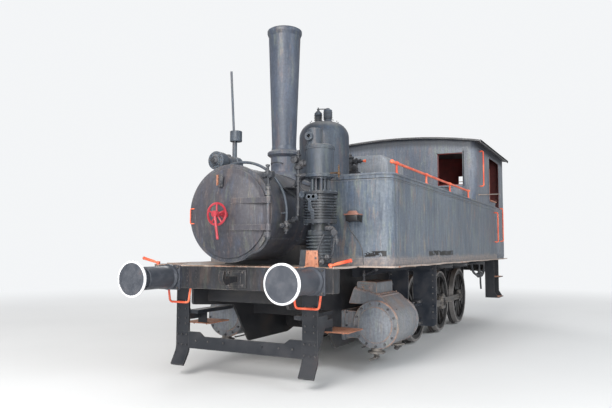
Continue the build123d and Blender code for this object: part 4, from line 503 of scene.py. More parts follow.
@dataclass(frozen=True)
class SheetPaint:
    """Weathered paint on plate."""

    name: str
    paint: Colour
    faded: Colour
    streaks: float = 0.5
    rust: float = 0.3
    wear: float = 0.5
    dust: float = 0.4
    edge: Colour = srgb(168, 160, 154)
    wear_width: float = 0.008
    rust_foot: Range | None = None
    room: Colour | None = None
    room_half: float = 1.434
    # Top level of a band of painted roof shadow, in metres; 0 for none.
    roof_shadow_top: float = 0.0
    # Level below which faces get painted shade, the shade under the running plate; 0 for none.
    under: float = 0.0
    settled: Colour = srgb(150, 146, 142)

    def rusted_through(self, wires: MaterialWiring, colour: Socket) -> Socket:
        """Ragged row of holes above the foot, on the front and the left side, painted near black as the
        shade inside the tank.

        Args:
            wires: the material's wiring.
            colour: the colour around the holes.

        Returns:
            The colour with the holes.
        """
        levels = {"Low": HOLE_LEVELS[0], "High": HOLE_LEVELS[1], "Softness": 0.006, "Ragged": 0.05}
        line = wires.effect(Effect.LEVEL_BAND, levels)
        hole = wires.step(wires.noise(wires.place((13.0, 13.0, 16.0), (1.0, 4.0, 2.0)), 1.0, 3.0, 0.7),
            0.4, 0.42)
        along, across = wires.axes()[:2]
        front = wires.between(across, HOLES_ACROSS, 0.01)
        side = wires.times(wires.between(along, HOLES_ALONG, 0.02),
            wires.step(across, HOLES_ACROSS[1], HOLES_ACROSS[1] + 0.01))
        hole = wires.times(hole, wires.math("MAXIMUM", front, side))
        # The holes are painted near black as the shade inside the tank.
        return wires.mix(wires.times(line[0], hole), colour, RUST_HOLE_SHADE)

    def build(self) -> bpy.types.Material:
        """Makes the material.

        Returns:
            The finished material.
        """
        wires = MaterialWiring(self.name)
        paint = wires.effect(Effect.STREAKED_PAINT, {
            "Paint": self.paint, "Faded": self.faded, "Streaks": self.streaks, "Rust Amount": self.rust,
        })
        colour = paint["Color"]
        if self.rust_foot:
            band = wires.effect(Effect.LEVEL_BAND,
                {"Low": self.rust_foot[0], "High": self.rust_foot[1], "Softness": 0.04, "Ragged": 0.16})
            rust = wires.mix(wires.step(wires.noise(wires.place(), 24.0, 5.0, 0.7), 0.4, 0.62),
                *RUST_FOOT)
            colour = wires.mix(wires.times(band[0], 0.7), colour, rust)
            colour = self.rusted_through(wires, colour)
        dust = wires.effect(Effect.SETTLED_DUST, {"Amount": self.dust})
        colour = wires.mix(dust[0], colour, self.settled)
        colour = wires.under(Effect.EDGE_WEAR, colour, self.edge, Width=self.wear_width,
            Amount=self.wear)
        # Painted shade: faces below the level turn dark blue-grey.
        if self.under:
            height = wires.axes()[2]
            colour = wires.mix(wires.step(height, self.under, self.under + 0.006), UNDERSIDE_SHADE, colour)
        # Painted shadow of the roof: the sheets darken towards the roof, following its curve.
        if self.roof_shadow_top:
            parts = wires.axes()
            fall = wires.times(wires.times(parts[1], parts[1]), ROOF_CURVE)
            roof_shade = wires.step(wires.plus(parts[2], fall), self.roof_shadow_top - 0.1, self.roof_shadow_top)
            colour = wires.mix(wires.times(roof_shade, 0.72), colour, ROOF_SHADOW_TONE)
        if self.room:
            inside = wires.effect(Effect.INNER_ROOM, {"Half Width": self.room_half})
            red = wires.effect(Effect.CHIPPED_PAINT,
                {"Paint": self.room, "Faded": tuple(0.7 * part for part in self.room), "Chips": 0.2})
            colour = wires.mix(inside[0], colour, red["Color"])
        rough = wires.plus(paint["Roughness"], wires.times(dust[0], 0.25), True)
        return wires.close(colour, rough, paint["Height"], 0.004)


@dataclass(frozen=True)
class GreasyIron:
    """Oily iron of the running gear and frames."""

    name: str
    iron: Colour
    grease: Colour
    scale: float = 6.0
    metal: float = 0.0
    wear: float = 0.3
    dust: float = 0.0
    edge: Colour = srgb(150, 146, 142)
    bright_ring: tuple[float, float, float, float] | None = None

    def build(self) -> bpy.types.Material:
        """Makes the material; bright_ring is the x, z and two radii of a polished tread.

        Returns:
            The finished material.
        """
        wires = MaterialWiring(self.name)
        iron = wires.effect(Effect.GREASY_IRON,
            {"Iron": self.iron, "Grease": self.grease, "Scale": self.scale})
        colour = iron["Color"]
        colour = wires.under(Effect.EDGE_WEAR, colour, self.edge, Width=0.006, Amount=self.wear)
        if self.dust:
            colour = wires.under(Effect.SETTLED_DUST, colour, BRAKE_DUST, Amount=self.dust)
        if self.bright_ring:
            x, z, inner, outer = self.bright_ring
            ring = wires.effect(Effect.ROUND_MARK,
                {"X": x, "Z": z, "Inner": inner, "Outer": outer, "Along Y": 1.0})
            colour = wires.mix(ring[0], colour, POLISHED)
            made = wires.close(colour, iron["Roughness"], iron["Height"], 0.002)
            wires.put(wires.shader.inputs["Metallic"], wires.times(ring[0], 0.8))
            return made
        return wires.close(colour, iron["Roughness"], iron["Height"], 0.002, self.metal)


@dataclass(frozen=True)
class BrightPaint:
    """Red, white or brass parts with chips."""

    name: str
    paint: Colour
    faded: Colour
    chips: float = 0.35
    bare: Colour = RUST_DARK
    metal: float = 0.0

    def build(self) -> bpy.types.Material:
        """Makes the material.

        Returns:
            The finished material.
        """
        wires = MaterialWiring(self.name)
        coat = wires.effect(Effect.CHIPPED_PAINT,
            {"Paint": self.paint, "Faded": self.faded, "Bare": self.bare, "Chips": self.chips})
        return wires.close(coat["Color"], coat["Roughness"], coat["Height"], 0.0015, self.metal)


@dataclass(frozen=True)
class BufferIron:
    """Greased buffer face inside a white rim."""

    name: str
    rim: Range
    end: float = 4.3

    def build(self) -> bpy.types.Material:
        """Makes the material.

        Returns:
            The finished material.
        """
        wires = MaterialWiring(self.name)
        iron = wires.effect(Effect.GREASY_IRON,
            {"Iron": srgb(58, 62, 70), "Grease": srgb(74, 77, 84), "Scale": 9.0})
        white = wires.effect(Effect.CHIPPED_PAINT,
            {"Paint": srgb(232, 232, 234), "Faded": srgb(205, 206, 210), "Bare": srgb(96, 96, 104),
            "Chips": 0.4})
        ring = wires.effect(Effect.ROUND_MARK,
            {"X": 0.0, "Y": 0.875, "Z": 1.08, "Inner": self.rim[0], "Outer": self.rim[1]})
        ahead = wires.axes()[0]
        outer = wires.math("GREATER_THAN", wires.math("ABSOLUTE", ahead), self.end)
        colour = wires.mix(wires.times(ring[0], outer), iron["Color"], white["Color"])
        return wires.close(colour, iron["Roughness"], iron["Height"], 0.002)


@dataclass(frozen=True)
class OiledPlanks:
    """Planks of the cab floor, laid along the engine."""

    name: str
    board: float = 0.14

    def build(self) -> bpy.types.Material:
        """Makes the material.

        Returns:
            The finished material.
        """
        wires = MaterialWiring(self.name)
        parts = wires.axes()
        row = wires.math("DIVIDE", parts[1], self.board)
        gap = wires.step(wires.math("ABSOLUTE", wires.minus(wires.math("FRACT", row), 0.5)), 0.46, 0.49)
        tone = wires.node("TexWhiteNoise", {"W": wires.math("FLOOR", row)},
            noise_dimensions="1D").outputs[0]
        grain = wires.noise(wires.place((2.5, 38.0, 10.0)), 1.0, 6.0, 0.6)
        colour = wires.mix(wires.step(grain, 0.3, 0.7), srgb(66, 50, 38), srgb(112, 88, 66))
        colour = wires.mix(wires.times(tone, 0.35), colour, srgb(58, 48, 42))
        colour = wires.mix(gap, colour, srgb(20, 16, 14))
        height = wires.minus(wires.times(grain, 0.3), gap)
        return wires.close(colour, wires.step(grain, 0.3, 0.7, 0.5, 0.75), height, 0.003)


@dataclass(frozen=True)
class Backdrop:
    """Pale floor and wall, seen a little lighter than they light."""

    name: str
    tone: float = 0.78
    near: float = 6.0
    far: float = 15.0
    sky: Colour = SKY
    glow: float = 0.93

    def build(self) -> bpy.types.Material:
        """Makes the material.

        Returns:
            The finished material.
        """
        wires = MaterialWiring(self.name)
        cloud = wires.noise(wires.place(), 0.35, 3.0)
        colour = wires.mix(wires.step(cloud, 0.3, 0.7), (self.tone, self.tone, self.tone),
            (self.tone * 0.97,) * 3)
        made = wires.close(colour, 0.9, cloud, 0.001)
        reach = wires.node("VectorMath", {0: wires.node("TexCoord").outputs["Object"]},
            operation="LENGTH").outputs["Value"]
        seen = wires.times(wires.step(reach, self.near, self.far),
            wires.node("LightPath").outputs["Is Camera Ray"])
        glow = wires.node("Emission", {"Color": self.sky, "Strength": self.glow})
        blend = wires.node("MixShader", {0: seen, 1: wires.shader.outputs[0], 2: glow.outputs[0]})
        wires.put(wires.tree.nodes["Material Output"].inputs["Surface"], blend.outputs[0])
        return made


def spread(groups: dict[str, str]) -> dict[str, str]:
    """Value of each name, from the names listed under each value."""
    return {name: value for value, names in groups.items() for name in names.split()}


DARK_RED = srgb(104, 30, 28)
# The cab sheets carry a band of painted roof shadow up to 3.24 m.
CAB_PAINT = SheetPaint(
    "cab_paint", srgb(88, 96, 110), srgb(126, 131, 140), 0.6, 0.12, 0.6, 0.3, edge=srgb(178, 176, 176),
    room=DARK_RED, roof_shadow_top=3.24,
)

FINISHES = {
    "tank": SheetPaint("tank_paint", srgb(78, 89, 103), srgb(112, 120, 129), 0.85, 0.16, 0.5, 0.3,
        rust_foot=(1.2, 1.3)),
    "cab": CAB_PAINT,
    "smokebox": SheetPaint("smokebox_paint", srgb(54, 57, 65), srgb(79, 79, 85), 0.35, 0.28, 0.5, 0.25),
    "door": SheetPaint("door_paint", srgb(52, 53, 61), srgb(74, 72, 78), 0.4, 0.16, 0.5, 0.3,
        edge=srgb(150, 144, 142)),
    "sand": SheetPaint("sandbox_paint", srgb(134, 140, 149), srgb(172, 175, 180), 0.6, 0.12, 0.5, 0.5),
    "fins": SheetPaint("fin_paint", srgb(30, 35, 42), srgb(50, 56, 64), 0.2, 0.12, 0.9, 0.35,
        edge=srgb(132, 140, 148), wear_width=0.004),
    "plate_edge": SheetPaint("plate_edge_paint", srgb(164, 146, 134), srgb(190, 174, 164), 0.2,
        0.6, 0.5, 0.3),
    "cab_door": replace(CAB_PAINT, name="cab_door_paint", room_half=1.42, roof_shadow_top=0.0),
    "cab_strip": SheetPaint("cab_strip_paint", srgb(88, 96, 106), srgb(118, 122, 128), 0.8, 0.5, 0.6,
        0.3, edge=srgb(160, 160, 162)),
    "turret": GreasyIron("turret_iron", srgb(38, 40, 46), srgb(66, 66, 70), 9.0, 0.0, 0.5, 0.4),
    "chimney": SheetPaint("chimney_paint", srgb(62, 70, 84), srgb(80, 86, 99), 0.4, 0.2, 0.4, 0.35),
    "dome": SheetPaint("dome_paint", srgb(54, 64, 78), srgb(76, 85, 97), 0.35, 0.1, 0.3, 0.45),
    "boiler": SheetPaint("boiler_paint", srgb(84, 88, 96), srgb(112, 112, 114), 0.3, 0.4, 0.5, 0.5),
    "roof": SheetPaint("roof_paint", srgb(58, 60, 64), srgb(84, 84, 87), 0.2, 0.2, 0.7, 0.3,
        edge=srgb(186, 184, 182), wear_width=0.012),
    "cylinder": SheetPaint("cylinder_paint", srgb(108, 113, 120), srgb(138, 139, 142), 0.5, 0.36, 0.9,
        0.75, edge=srgb(192, 146, 118), wear_width=0.013,
                           settled=srgb(142, 112, 98)),
    "cover": SheetPaint("cylinder_cover_paint", srgb(114, 120, 128), srgb(138, 142, 148), 0.5, 0.3, 0.9,
        0.3, edge=srgb(192, 156, 132), wear_width=0.012),
    "compressor": SheetPaint("compressor_iron_paint", srgb(52, 60, 70), srgb(76, 84, 94), 0.25, 0.15,
        0.6, 0.5, edge=srgb(152, 158, 164), wear_width=0.005),
    # Running plate: its parts below 1.18 m get painted shade.
    "plate": SheetPaint("plate_paint", srgb(104, 88, 78), srgb(146, 122, 104), 0.2, 0.75, 0.9, 0.5,
        edge=srgb(205, 186, 172), wear_width=0.014, under=1.18),
    # Beam paint near black: the beam's dark paint, darkened further as painted shade of its place under
    # the running plate.
    "beam": SheetPaint("beam_paint_darkened_as_shade", srgb(30, 32, 37), srgb(44, 43, 46), 0.2, 0.12, 0.5, 0.1),
    "step": SheetPaint("step_plate", srgb(158, 98, 70), srgb(206, 140, 106), 0.2, 0.5, 0.7, 0.2,
        edge=srgb(206, 158, 130)),
    "guard": GreasyIron("guard_iron", srgb(24, 28, 35), srgb(42, 43, 48), 4.0, 0.0, 0.4, 0.2),
    "frame": GreasyIron("frame_iron", srgb(34, 35, 39), srgb(54, 52, 52), 3.0, 0.0, 0.3, 0.2),
    "spring": GreasyIron("spring_iron", srgb(34, 34, 36), srgb(60, 54, 50), 7.0, 0.0, 0.35, 0.2),
    "axle": GreasyIron("axle_iron", srgb(74, 70, 66), srgb(104, 98, 90), 8.0, 0.5, 0.2),
    "rod": GreasyIron("rod_iron", srgb(86, 84, 84), srgb(132, 126, 120), 9.0, 0.55, 0.6, 0.0,
        srgb(188, 184, 178)),
    "slide": GreasyIron("slide_iron", srgb(76, 76, 80), srgb(116, 112, 108), 9.0, 0.4, 0.6, 0.0,
        srgb(180, 176, 170)),
    "motion": GreasyIron("motion_iron", srgb(36, 42, 52), srgb(56, 58, 64), 6.0, 0.1, 0.8, 0.0,
        srgb(170, 168, 166)),
    "buffer": BufferIron("buffer_iron", (0.166, 0.2)),
    "orange_iron": SheetPaint("orange_iron", srgb(170, 102, 74), srgb(198, 136, 106), 0.3, 0.5, 0.6,
        0.15, edge=srgb(120, 84, 70), wear_width=0.004),
    "red_rust": SheetPaint("red_rust_iron", srgb(128, 82, 70), srgb(168, 120, 104), 0.2, 0.5, 0.5, 0.3,
        edge=srgb(196, 160, 146), wear_width=0.004),
    "pipe": GreasyIron("pipe_iron", srgb(46, 49, 55), srgb(72, 73, 77), 9.0, 0.0, 0.5, 0.3),
    "black": GreasyIron("shadow_black", srgb(24, 24, 28), srgb(40, 36, 36), 9.0, 0.0, 0.2),
    "rail_red": BrightPaint("rail_red", srgb(208, 74, 46), srgb(232, 116, 82), 0.35),
    "wheel_red": BrightPaint("handwheel_red", srgb(146, 32, 44), srgb(168, 58, 68), 0.25,
        srgb(84, 28, 32)),
    "room_red": BrightPaint("room_red", DARK_RED, srgb(84, 26, 24), 0.3, srgb(40, 26, 22)),
    "brass": BrightPaint("tarnished_brass", srgb(98, 74, 50), srgb(82, 62, 46), 0.3,
        srgb(52, 46, 40), 0.5),
    "white": BrightPaint("old_white", srgb(214, 214, 216), srgb(190, 192, 196), 0.4,
        srgb(104, 100, 100)),
    "planks": OiledPlanks("oiled_planks"),
    "floor": Backdrop("studio_floor"),
}

NODE_FINISHES = spread({
    "frame": "main_frames brake_gear",
    "beam": "buffer_beams",
    "buffer": "buffers",
    "plate": "running_plate",
    "guard": "front_guards rear_steps",
    "spring": "axle_boxes",
    "axle": "leading_axle driving_axle trailing_axle",
    "rod": "left_coupling_rod right_coupling_rod left_connecting_rod right_connecting_rod",
    "slide": "left_crosshead right_crosshead",
    "cylinder": "cylinders",
    "motion": "slide_bars",
    "smokebox": "smokebox",
    "door": "smokebox_door",
    "wheel_red": "door_handwheel",
    "boiler": "boiler firebox",
    "chimney": "chimney",
    "dome": "dome",
    "sand": "sandbox",
    "compressor": "generator compressor_steam_cylinder",
    "fins": "compressor_air_cylinders",
    "tank": "side_tanks left_filler_lid right_filler_lid",
    "rail_red": "handrails",
    "cab": "cab_front cab_sides cab_rear",
    "cab_door": "left_cab_door right_cab_door",
    "planks": "cab_floor",
    "roof": "cab_roof",
    "room_red": "cab_fittings",
})


class Paintshop:
    """Builds each finish once and lays it on nodes and pieces."""

    def __init__(self) -> None:
        """Starts with no material built."""
        self.made: dict[str, bpy.types.Material] = {}

    def get(self, finish: str) -> bpy.types.Material:
        """Finds the material of a finish, and builds it on first use.

        Args:
            finish: the finish's name.

        Returns:
            The material.
        """
        if finish not in self.made:
            self.made[finish] = FINISHES[finish].build()
        return self.made[finish]

    def coat(self, thing: bpy.types.Object, material: bpy.types.Material) -> None:
        """Gives a whole object one material.

        Args:
            thing: the object.
            material: the material.
        """
        thing.data.materials.clear()
        thing.data.materials.append(material)
        for face in thing.data.polygons:
            face.material_index = 0

    def coat_nodes(self) -> None:
        """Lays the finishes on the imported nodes, and a polished tread on each wheel."""
        for node, finish in NODE_FINISHES.items():
            self.coat(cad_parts[node], self.get(finish))
        for name, station in AXLES.items():
            centre = spot(station, 0, AXLE_HEIGHT)
            ring = (centre.x, centre.z, *TREAD)
            # Wheel iron near black: black iron, darkened further as painted shade of the place under
            # the tanks.
            wheel = GreasyIron(
                name + "_wheels_iron_darkened_as_shade", srgb(30, 30, 32), srgb(50, 47,
                    46), 5.0, 0.0, 0.2, bright_ring=ring,
            )
            self.coat(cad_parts[name + "_wheels"], wheel.build())
        log.info("finishes on %d nodes", len(NODE_FINISHES) + len(AXLES))


SHOP = Paintshop()


# Camera, light and floor


@dataclass
class Studio:
    """Pale floor, soft light and the camera at the photograph's place."""

    eye: Colour = (9.003, 3.520, 1.391)
    yaw: float = 27.5306
    pitch: float = 4.2776
    roll: float = 0.15
    focal: float = 35.294
    floor_size: float = 90.0
    sky_light: float = 0.52
    sky_seen: float = 0.93
    aim: Colour = (0.0, 0.0, 1.4)
    lamps: tuple = (
        ("key_lamp", (17.0, 1.0, 9.5), 7.0, 2520.0, (1.0, 0.985, 0.96)),
        ("side_lamp", (4.0, 15.0, 10.0), 9.0, 1150.0, (0.88, 0.95, 1.0)),
        ("low_lamp", (15.0, 7.0, 1.8), 4.0, 1000.0),
        ("rear_lamp", (-12.0, -9.0, 9.0), 8.0, 700.0),
    )

    def camera(self) -> None:
        """Sets the camera."""
        yaw, pitch, roll = (radians(angle) for angle in (self.yaw, self.pitch, self.roll))
        ahead = Vector((-cos(yaw) * cos(pitch), -sin(yaw) * cos(pitch), sin(pitch)))
        right = ahead.cross(UP).normalized()
        up = right.cross(ahead)
        across = right * cos(roll) + up * sin(roll)
        upward = up * cos(roll) - right * sin(roll)
        data = bpy.data.cameras.new("photo_camera")
        data.lens = self.focal
        data.sensor_width = 36.0
        data.sensor_fit = "HORIZONTAL"
        data.clip_end = 300.0
        thing = bpy.data.objects.new("photo_camera", data)
        turn = Matrix((across, upward, -ahead)).transposed()
        thing.matrix_world = Matrix.Translation(self.eye) @ turn.to_4x4()
        bpy.context.collection.objects.link(thing)
        bpy.context.scene.camera = thing

    def lamp(self, name: str, place: Colour, size: float, power: float,
            tint: Colour = (1.0, 1.0, 1.0)) -> None:
        """Hangs a soft square lamp that faces the engine.

        Args:
            name: the lamp's name.
            place: its place, in metres.
            size: its width, in metres.
            power: its power, in watts.
            tint: its colour.
        """
        data = bpy.data.lights.new(name, "AREA")
        data.color = tint
        data.shape = "SQUARE"
        data.size = size
        data.energy = power
        thing = bpy.data.objects.new(name, data)
        thing.location = place
        ahead = Vector(self.aim) - Vector(place)
        thing.rotation_euler = ahead.to_track_quat("-Z", "Y").to_euler()
        bpy.context.collection.objects.link(thing)

    def light(self) -> None:
        """Sets the lamps and the world."""
        for settings in self.lamps:
            self.lamp(*settings)
        world = bpy.data.worlds.new("studio_world")
        world.use_nodes = True
        bpy.context.scene.world = world
        wires = Wiring(world.node_tree)
        ray = wires.node("LightPath").outputs
        seen = wires.math("MAXIMUM", ray["Is Camera Ray"], ray["Is Transmission Ray"])
        strength = wires.blend(seen, self.sky_light, self.sky_seen)
        shade = world.node_tree.nodes["Background"]
        shade.inputs["Color"].default_value = (*SKY, 1.0)
        world.node_tree.links.new(strength, shade.inputs["Strength"])

    def floor(self) -> None:
        """Lays the floor."""
        mesh = bmesh.new()
        bmesh.ops.create_grid(mesh, x_segments=8, y_segments=8, size=self.floor_size / 2)
        data = bpy.data.meshes.new("studio_floor")
        mesh.to_mesh(data)
        mesh.free()
        thing = bpy.data.objects.new("studio_floor", data)
        bpy.context.collection.objects.link(thing)
        SHOP.coat(thing, SHOP.get("floor"))

    def build(self) -> None:
        """Sets up the whole studio."""
        self.camera()
        self.light()
        self.floor()
        bpy.context.scene.view_settings.view_transform = "Standard"
        log.info("studio is ready")


# Mesh work


SLOTS = spread({
    "rail_red": "rail_red wheel_red",
    "rusty_plate": "plate step orange_iron red_rust plate_edge",
    "frame_paint": "frame guard spring black beam",
    "rod_steel": "rod slide brass",
    "roof_paint": "roof",
    "compressor_iron": "compressor pipe turret",
    "cab_red": "room_red",
    "buffer_iron": "buffer",
})


def square_to(axis: Vector) -> tuple[Vector, Vector]:
    """Two unit vectors square to an axis and to each other."""
    first = axis.cross(UP if abs(axis.z) < 0.9 else AHEAD).normalized()
    return first, axis.cross(first).normalized()


def radial(turn: float) -> Vector:
    """Direction across the engine, turned up from its left side, in degrees."""
    return Vector((0, cos(radians(turn)), sin(radians(turn))))


def on_circle(
    centre: Vector, first: Vector, second: Vector, radius: float, count: int, start: float = 0.0,
) -> list[Vector]:
    """Points spread evenly on a circle.

    Args:
        centre: centre of the circle, in metres.
        first: direction of the first point.
        second: direction of the point a quarter on.
        radius: radius of the circle, in mm.
        count: number of points.
        start: turn of the first point, in radians.

    Returns:
        The points, in metres.
    """
    turns = [start + tau * index / count for index in range(count)]
    return [centre + (first * cos(turn) + second * sin(turn)) * radius / 1000 for turn in turns]


def eased(points: list[Vector], radius: float, steps: int = 5) -> list[Vector]:
    """Line with its corners rounded.

    Args:
        points: corners of the line, in metres.
        radius: how far from a corner the bend starts, in mm.
        steps: points laid along each bend.

    Returns:
        The points of the rounded line.
    """
    line = [points[0]]
    for before, corner, after in zip(points, points[1:], points[2:]):
        reach = min(radius / 1000, (corner - before).length * 0.48, (after - corner).length * 0.48)
        start = corner + (before - corner).normalized() * reach
        end = corner + (after - corner).normalized() * reach
        for index in range(steps + 1):
            part = index / steps
            line.append(start.lerp(corner, part).lerp(corner.lerp(end, part), part))
    return line + [points[-1]]


class Piece:
    """One visual piece, built up as a mesh."""

    def __init__(self, name: str, finish: str, body: str = "engine") -> None:
        """Starts an empty piece.

        Args:
            name: the piece's name.
            finish: its finish.
            body: the body that it moves with.
        """
        self.name, self.finish, self.body = name, finish, body
        self.mesh = bmesh.new()

    def prism(self, outline: list[Vector], shift: Vector, edge: float = 0.0, steps: int = 2) -> None:
        """Sweeps a closed outline along a straight line.

        Args:
            outline: corners of the outline, in metres.
            shift: the sweep, in metres.
            edge: width of the rounded edges, in mm.
            steps: faces across each rounded edge.
        """
        lower = [self.mesh.verts.new(point) for point in outline]
        upper = [self.mesh.verts.new(point + shift) for point in outline]
        count = len(outline)
        faces = [self.mesh.faces.new(lower), self.mesh.faces.new(upper[::-1])]
        for index in range(count):
            after = (index + 1) % count
            faces.append(self.mesh.faces.new((lower[index], upper[index], upper[after], lower[after])))
        if edge:
            edges = {line for face in faces for line in face.edges}
            bmesh.ops.bevel(self.mesh, geom=list(edges), offset=edge / 1000, segments=steps,
                profile=0.5,
                            affect="EDGES", clamp_overlap=True)

    def block(self, stations: Range, sides: Range, heights: Range, edge: float = 2.0,
            steps: int = 2) -> None:
        """Adds a block with rounded edges.

        Args:
            stations: its range along the engine, in mm.
            sides: its range across, in mm.
            heights: its range of heights, in mm.
            edge: width of the rounded edges, in mm.
            steps: faces across each rounded edge.
        """
        (s0, s1), (y0, y1), (z0, z1) = stations, sides, heights
        ring = path((s0, y0, z0), (s1, y0, z0), (s1, y1, z0), (s0, y1, z0))
        self.prism(ring, UP * ((z1 - z0) / 1000), edge, steps)

    def turned(self, centre: Vector, axis: Vector, profile: list[tuple[float, float]],
            sides: int = 24) -> None:
        """Turns a profile about an axis.

        Args:
            centre: start of the axis, in metres.
            axis: direction of the axis.
            profile: radius of each corner and its distance along the axis, in mm.
            sides: faces round the axis.
        """
        axis = axis.normalized()
        first, second = square_to(axis)
        rings = []
        for radius, along in profile:
            middle = centre + axis * (along / 1000)
            if radius < 0.01:
                rings.append([self.mesh.verts.new(middle)])
                continue
            around = on_circle(middle, first, second, radius, sides)
            rings.append([self.mesh.verts.new(point) for point in around])
        for low, high in zip(rings, rings[1:]):
            for index in range(sides):
                after = (index + 1) % sides
                corners = [low[index % len(low)], low[after % len(low)], high[after % len(high)],
                    high[index % len(high)]]
                corners = list(dict.fromkeys(corners))
                if len(corners) > 2:
                    self.mesh.faces.new(corners)

    def ring(self, centre: Vector, axis: Vector, radius: float, thick: float, sides: int = 40,
            around: int = 10) -> None:
        """Adds a round ring of round section.

        Args:
            centre: centre of the ring, in metres.
            axis: the ring's axis.
            radius: radius to the middle of its section, in mm.
            thick: radius of its section, in mm.
            sides: steps round the ring.
            around: faces round its section.
        """
        first, second = square_to(axis.normalized())
        self.tube(on_circle(centre, first, second, radius, sides), thick, around, True)

    def skin(self, rings: list[list[Vector]], closed: bool = False) -> None:
        """Joins rings of points with faces.

        Args:
            rings: the rings, in metres, of equal length.
            closed: whether the last ring joins the first; if not, the ends are capped.
        """
        loops = [[self.mesh.verts.new(point) for point in ring] for ring in rings]
        count = len(loops[0])
        for low, high in zip(loops, loops[1:] + (loops[:1] if closed else [])):
            for index in range(count):
                after = (index + 1) % count
                self.mesh.faces.new((low[index], low[after], high[after], high[index]))
        if not closed:
            self.mesh.faces.new(loops[0])
            self.mesh.faces.new(loops[-1])

    def tube(self, points: list[Vector], radius: float, sides: int = 10, closed: bool = False,
            tip: float | None = None) -> None:
        """Sweeps a circle along a line.

        Args:
            points: the line, in metres.
            radius: radius of the tube, in mm.
            sides: faces round the tube.
            closed: whether the line's end joins its start.
            tip: radius at the far end, in mm, where it differs.
        """
        count = len(points)
        first = None
        rings = []
        for index, point in enumerate(points):
            before = points[index - 1] if index or closed else point
            after = points[(index + 1) % count] if index < count - 1 or closed else point
            ahead = (after - before).normalized()
            if first is None:
                first = square_to(ahead)[0]
            first = (first - ahead * first.dot(ahead)).normalized()
            second = ahead.cross(first)
            size = radius if tip is None else radius + (tip - radius) * index / (count - 1)
            rings.append(on_circle(point, first, second, size, sides))
        self.skin(rings, closed)

    def pipe(self, corners: tuple, radius: float, bend: float, sides: int, steps: int = 5) -> None:
        """Adds a tube with rounded bends.

        Args:
            corners: station, side and height of each corner, in mm.
            radius: radius of the tube, in mm.
            bend: how far from a corner the bend starts, in mm.
            sides: faces round the tube.
            steps: points laid along each bend.
        """
        self.tube(eased(path(*corners), bend, steps), radius, sides)

    def bolt(self, centre: Vector, axis: Vector, size: float = 12.0, stud: bool = True) -> None:
        """Adds a hexagon nut.

        Args:
            centre: centre of its seat, in metres.
            axis: direction that it faces.
            size: its radius, in mm.
            stud: whether the end of its stud shows.
        """
        self.turned(centre, axis, [(0, -1), (size, -1), (size, size * 0.75), (size * 0.86, size * 0.95),
            (0, size * 0.95)], 6)
        if stud:
            self.turned(centre, axis, [(0, 0), (size * 0.5, 0), (size * 0.5, size * 1.35),
                (size * 0.36, size * 1.5), (0, size * 1.5)], 10)

    def rivet(self, centre: Vector, axis: Vector, size: float = 9.0) -> None:
        """Adds a round rivet head."""
        self.turned(centre, axis, [(size, -1), (size * 0.94, size * 0.22), (size * 0.62, size * 0.52),
            (0, size * 0.66)], 10)

    def circle(self, centre: Vector, axis: Vector, radius: float, count: int, size: float,
            start: float = 0.0, rivets: bool = False) -> None:
        """Lays nuts or rivets on a circle.

        Args:
            centre: centre of the circle, in metres.
            axis: direction that the heads face.
            radius: radius of the circle, in mm.
            count: number of heads.
            size: radius of a head, in mm.
            start: first angle, in degrees.
            rivets: round heads in place of nuts.
        """
        first, second = square_to(axis.normalized())
        for place in on_circle(centre, first, second, radius, count, radians(start)):
            (self.rivet if rivets else self.bolt)(place, axis, size)

    def row(self, start: Vector, end: Vector, axis: Vector, count: int, size: float = 9.0) -> None:
        """Lays rivets along a line.

        Args:
            start: place of the first rivet, in metres.
            end: place of the last one, in metres.
            axis: direction that the heads face.
            count: number of rivets.
            size: radius of a head, in mm.
        """
        for index in range(count):
            self.rivet(start.lerp(end, index / (count - 1)), axis, size)

    def place(self) -> None:
        """Puts the piece in the scene, riding on its body."""
        bmesh.ops.recalc_face_normals(self.mesh, faces=self.mesh.faces)
        data = bpy.data.meshes.new(self.name)
        self.mesh.to_mesh(data)
        self.mesh.free()
        data.polygons.foreach_set("use_smooth", [True] * len(data.polygons))
        data.set_sharp_from_angle(angle=SHARP_ANGLE)
        thing = bpy.data.objects.new(self.name, data)
        bpy.context.collection.objects.link(thing)
        SHOP.coat(thing, SHOP.get(self.finish))
        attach(thing, self.body)
        SLOTS.get(self.finish, "body_paint")
        log.info("%s: %d faces", self.name, len(data.polygons))


# Sub-assemblies


class Assembly:
    """A sub-assembly, whose jobs each build some of its pieces."""

    jobs: tuple[str, ...] = ()

    def build(self) -> None:
        """Does the jobs in order."""
        for job in self.jobs:
            getattr(self, job)()


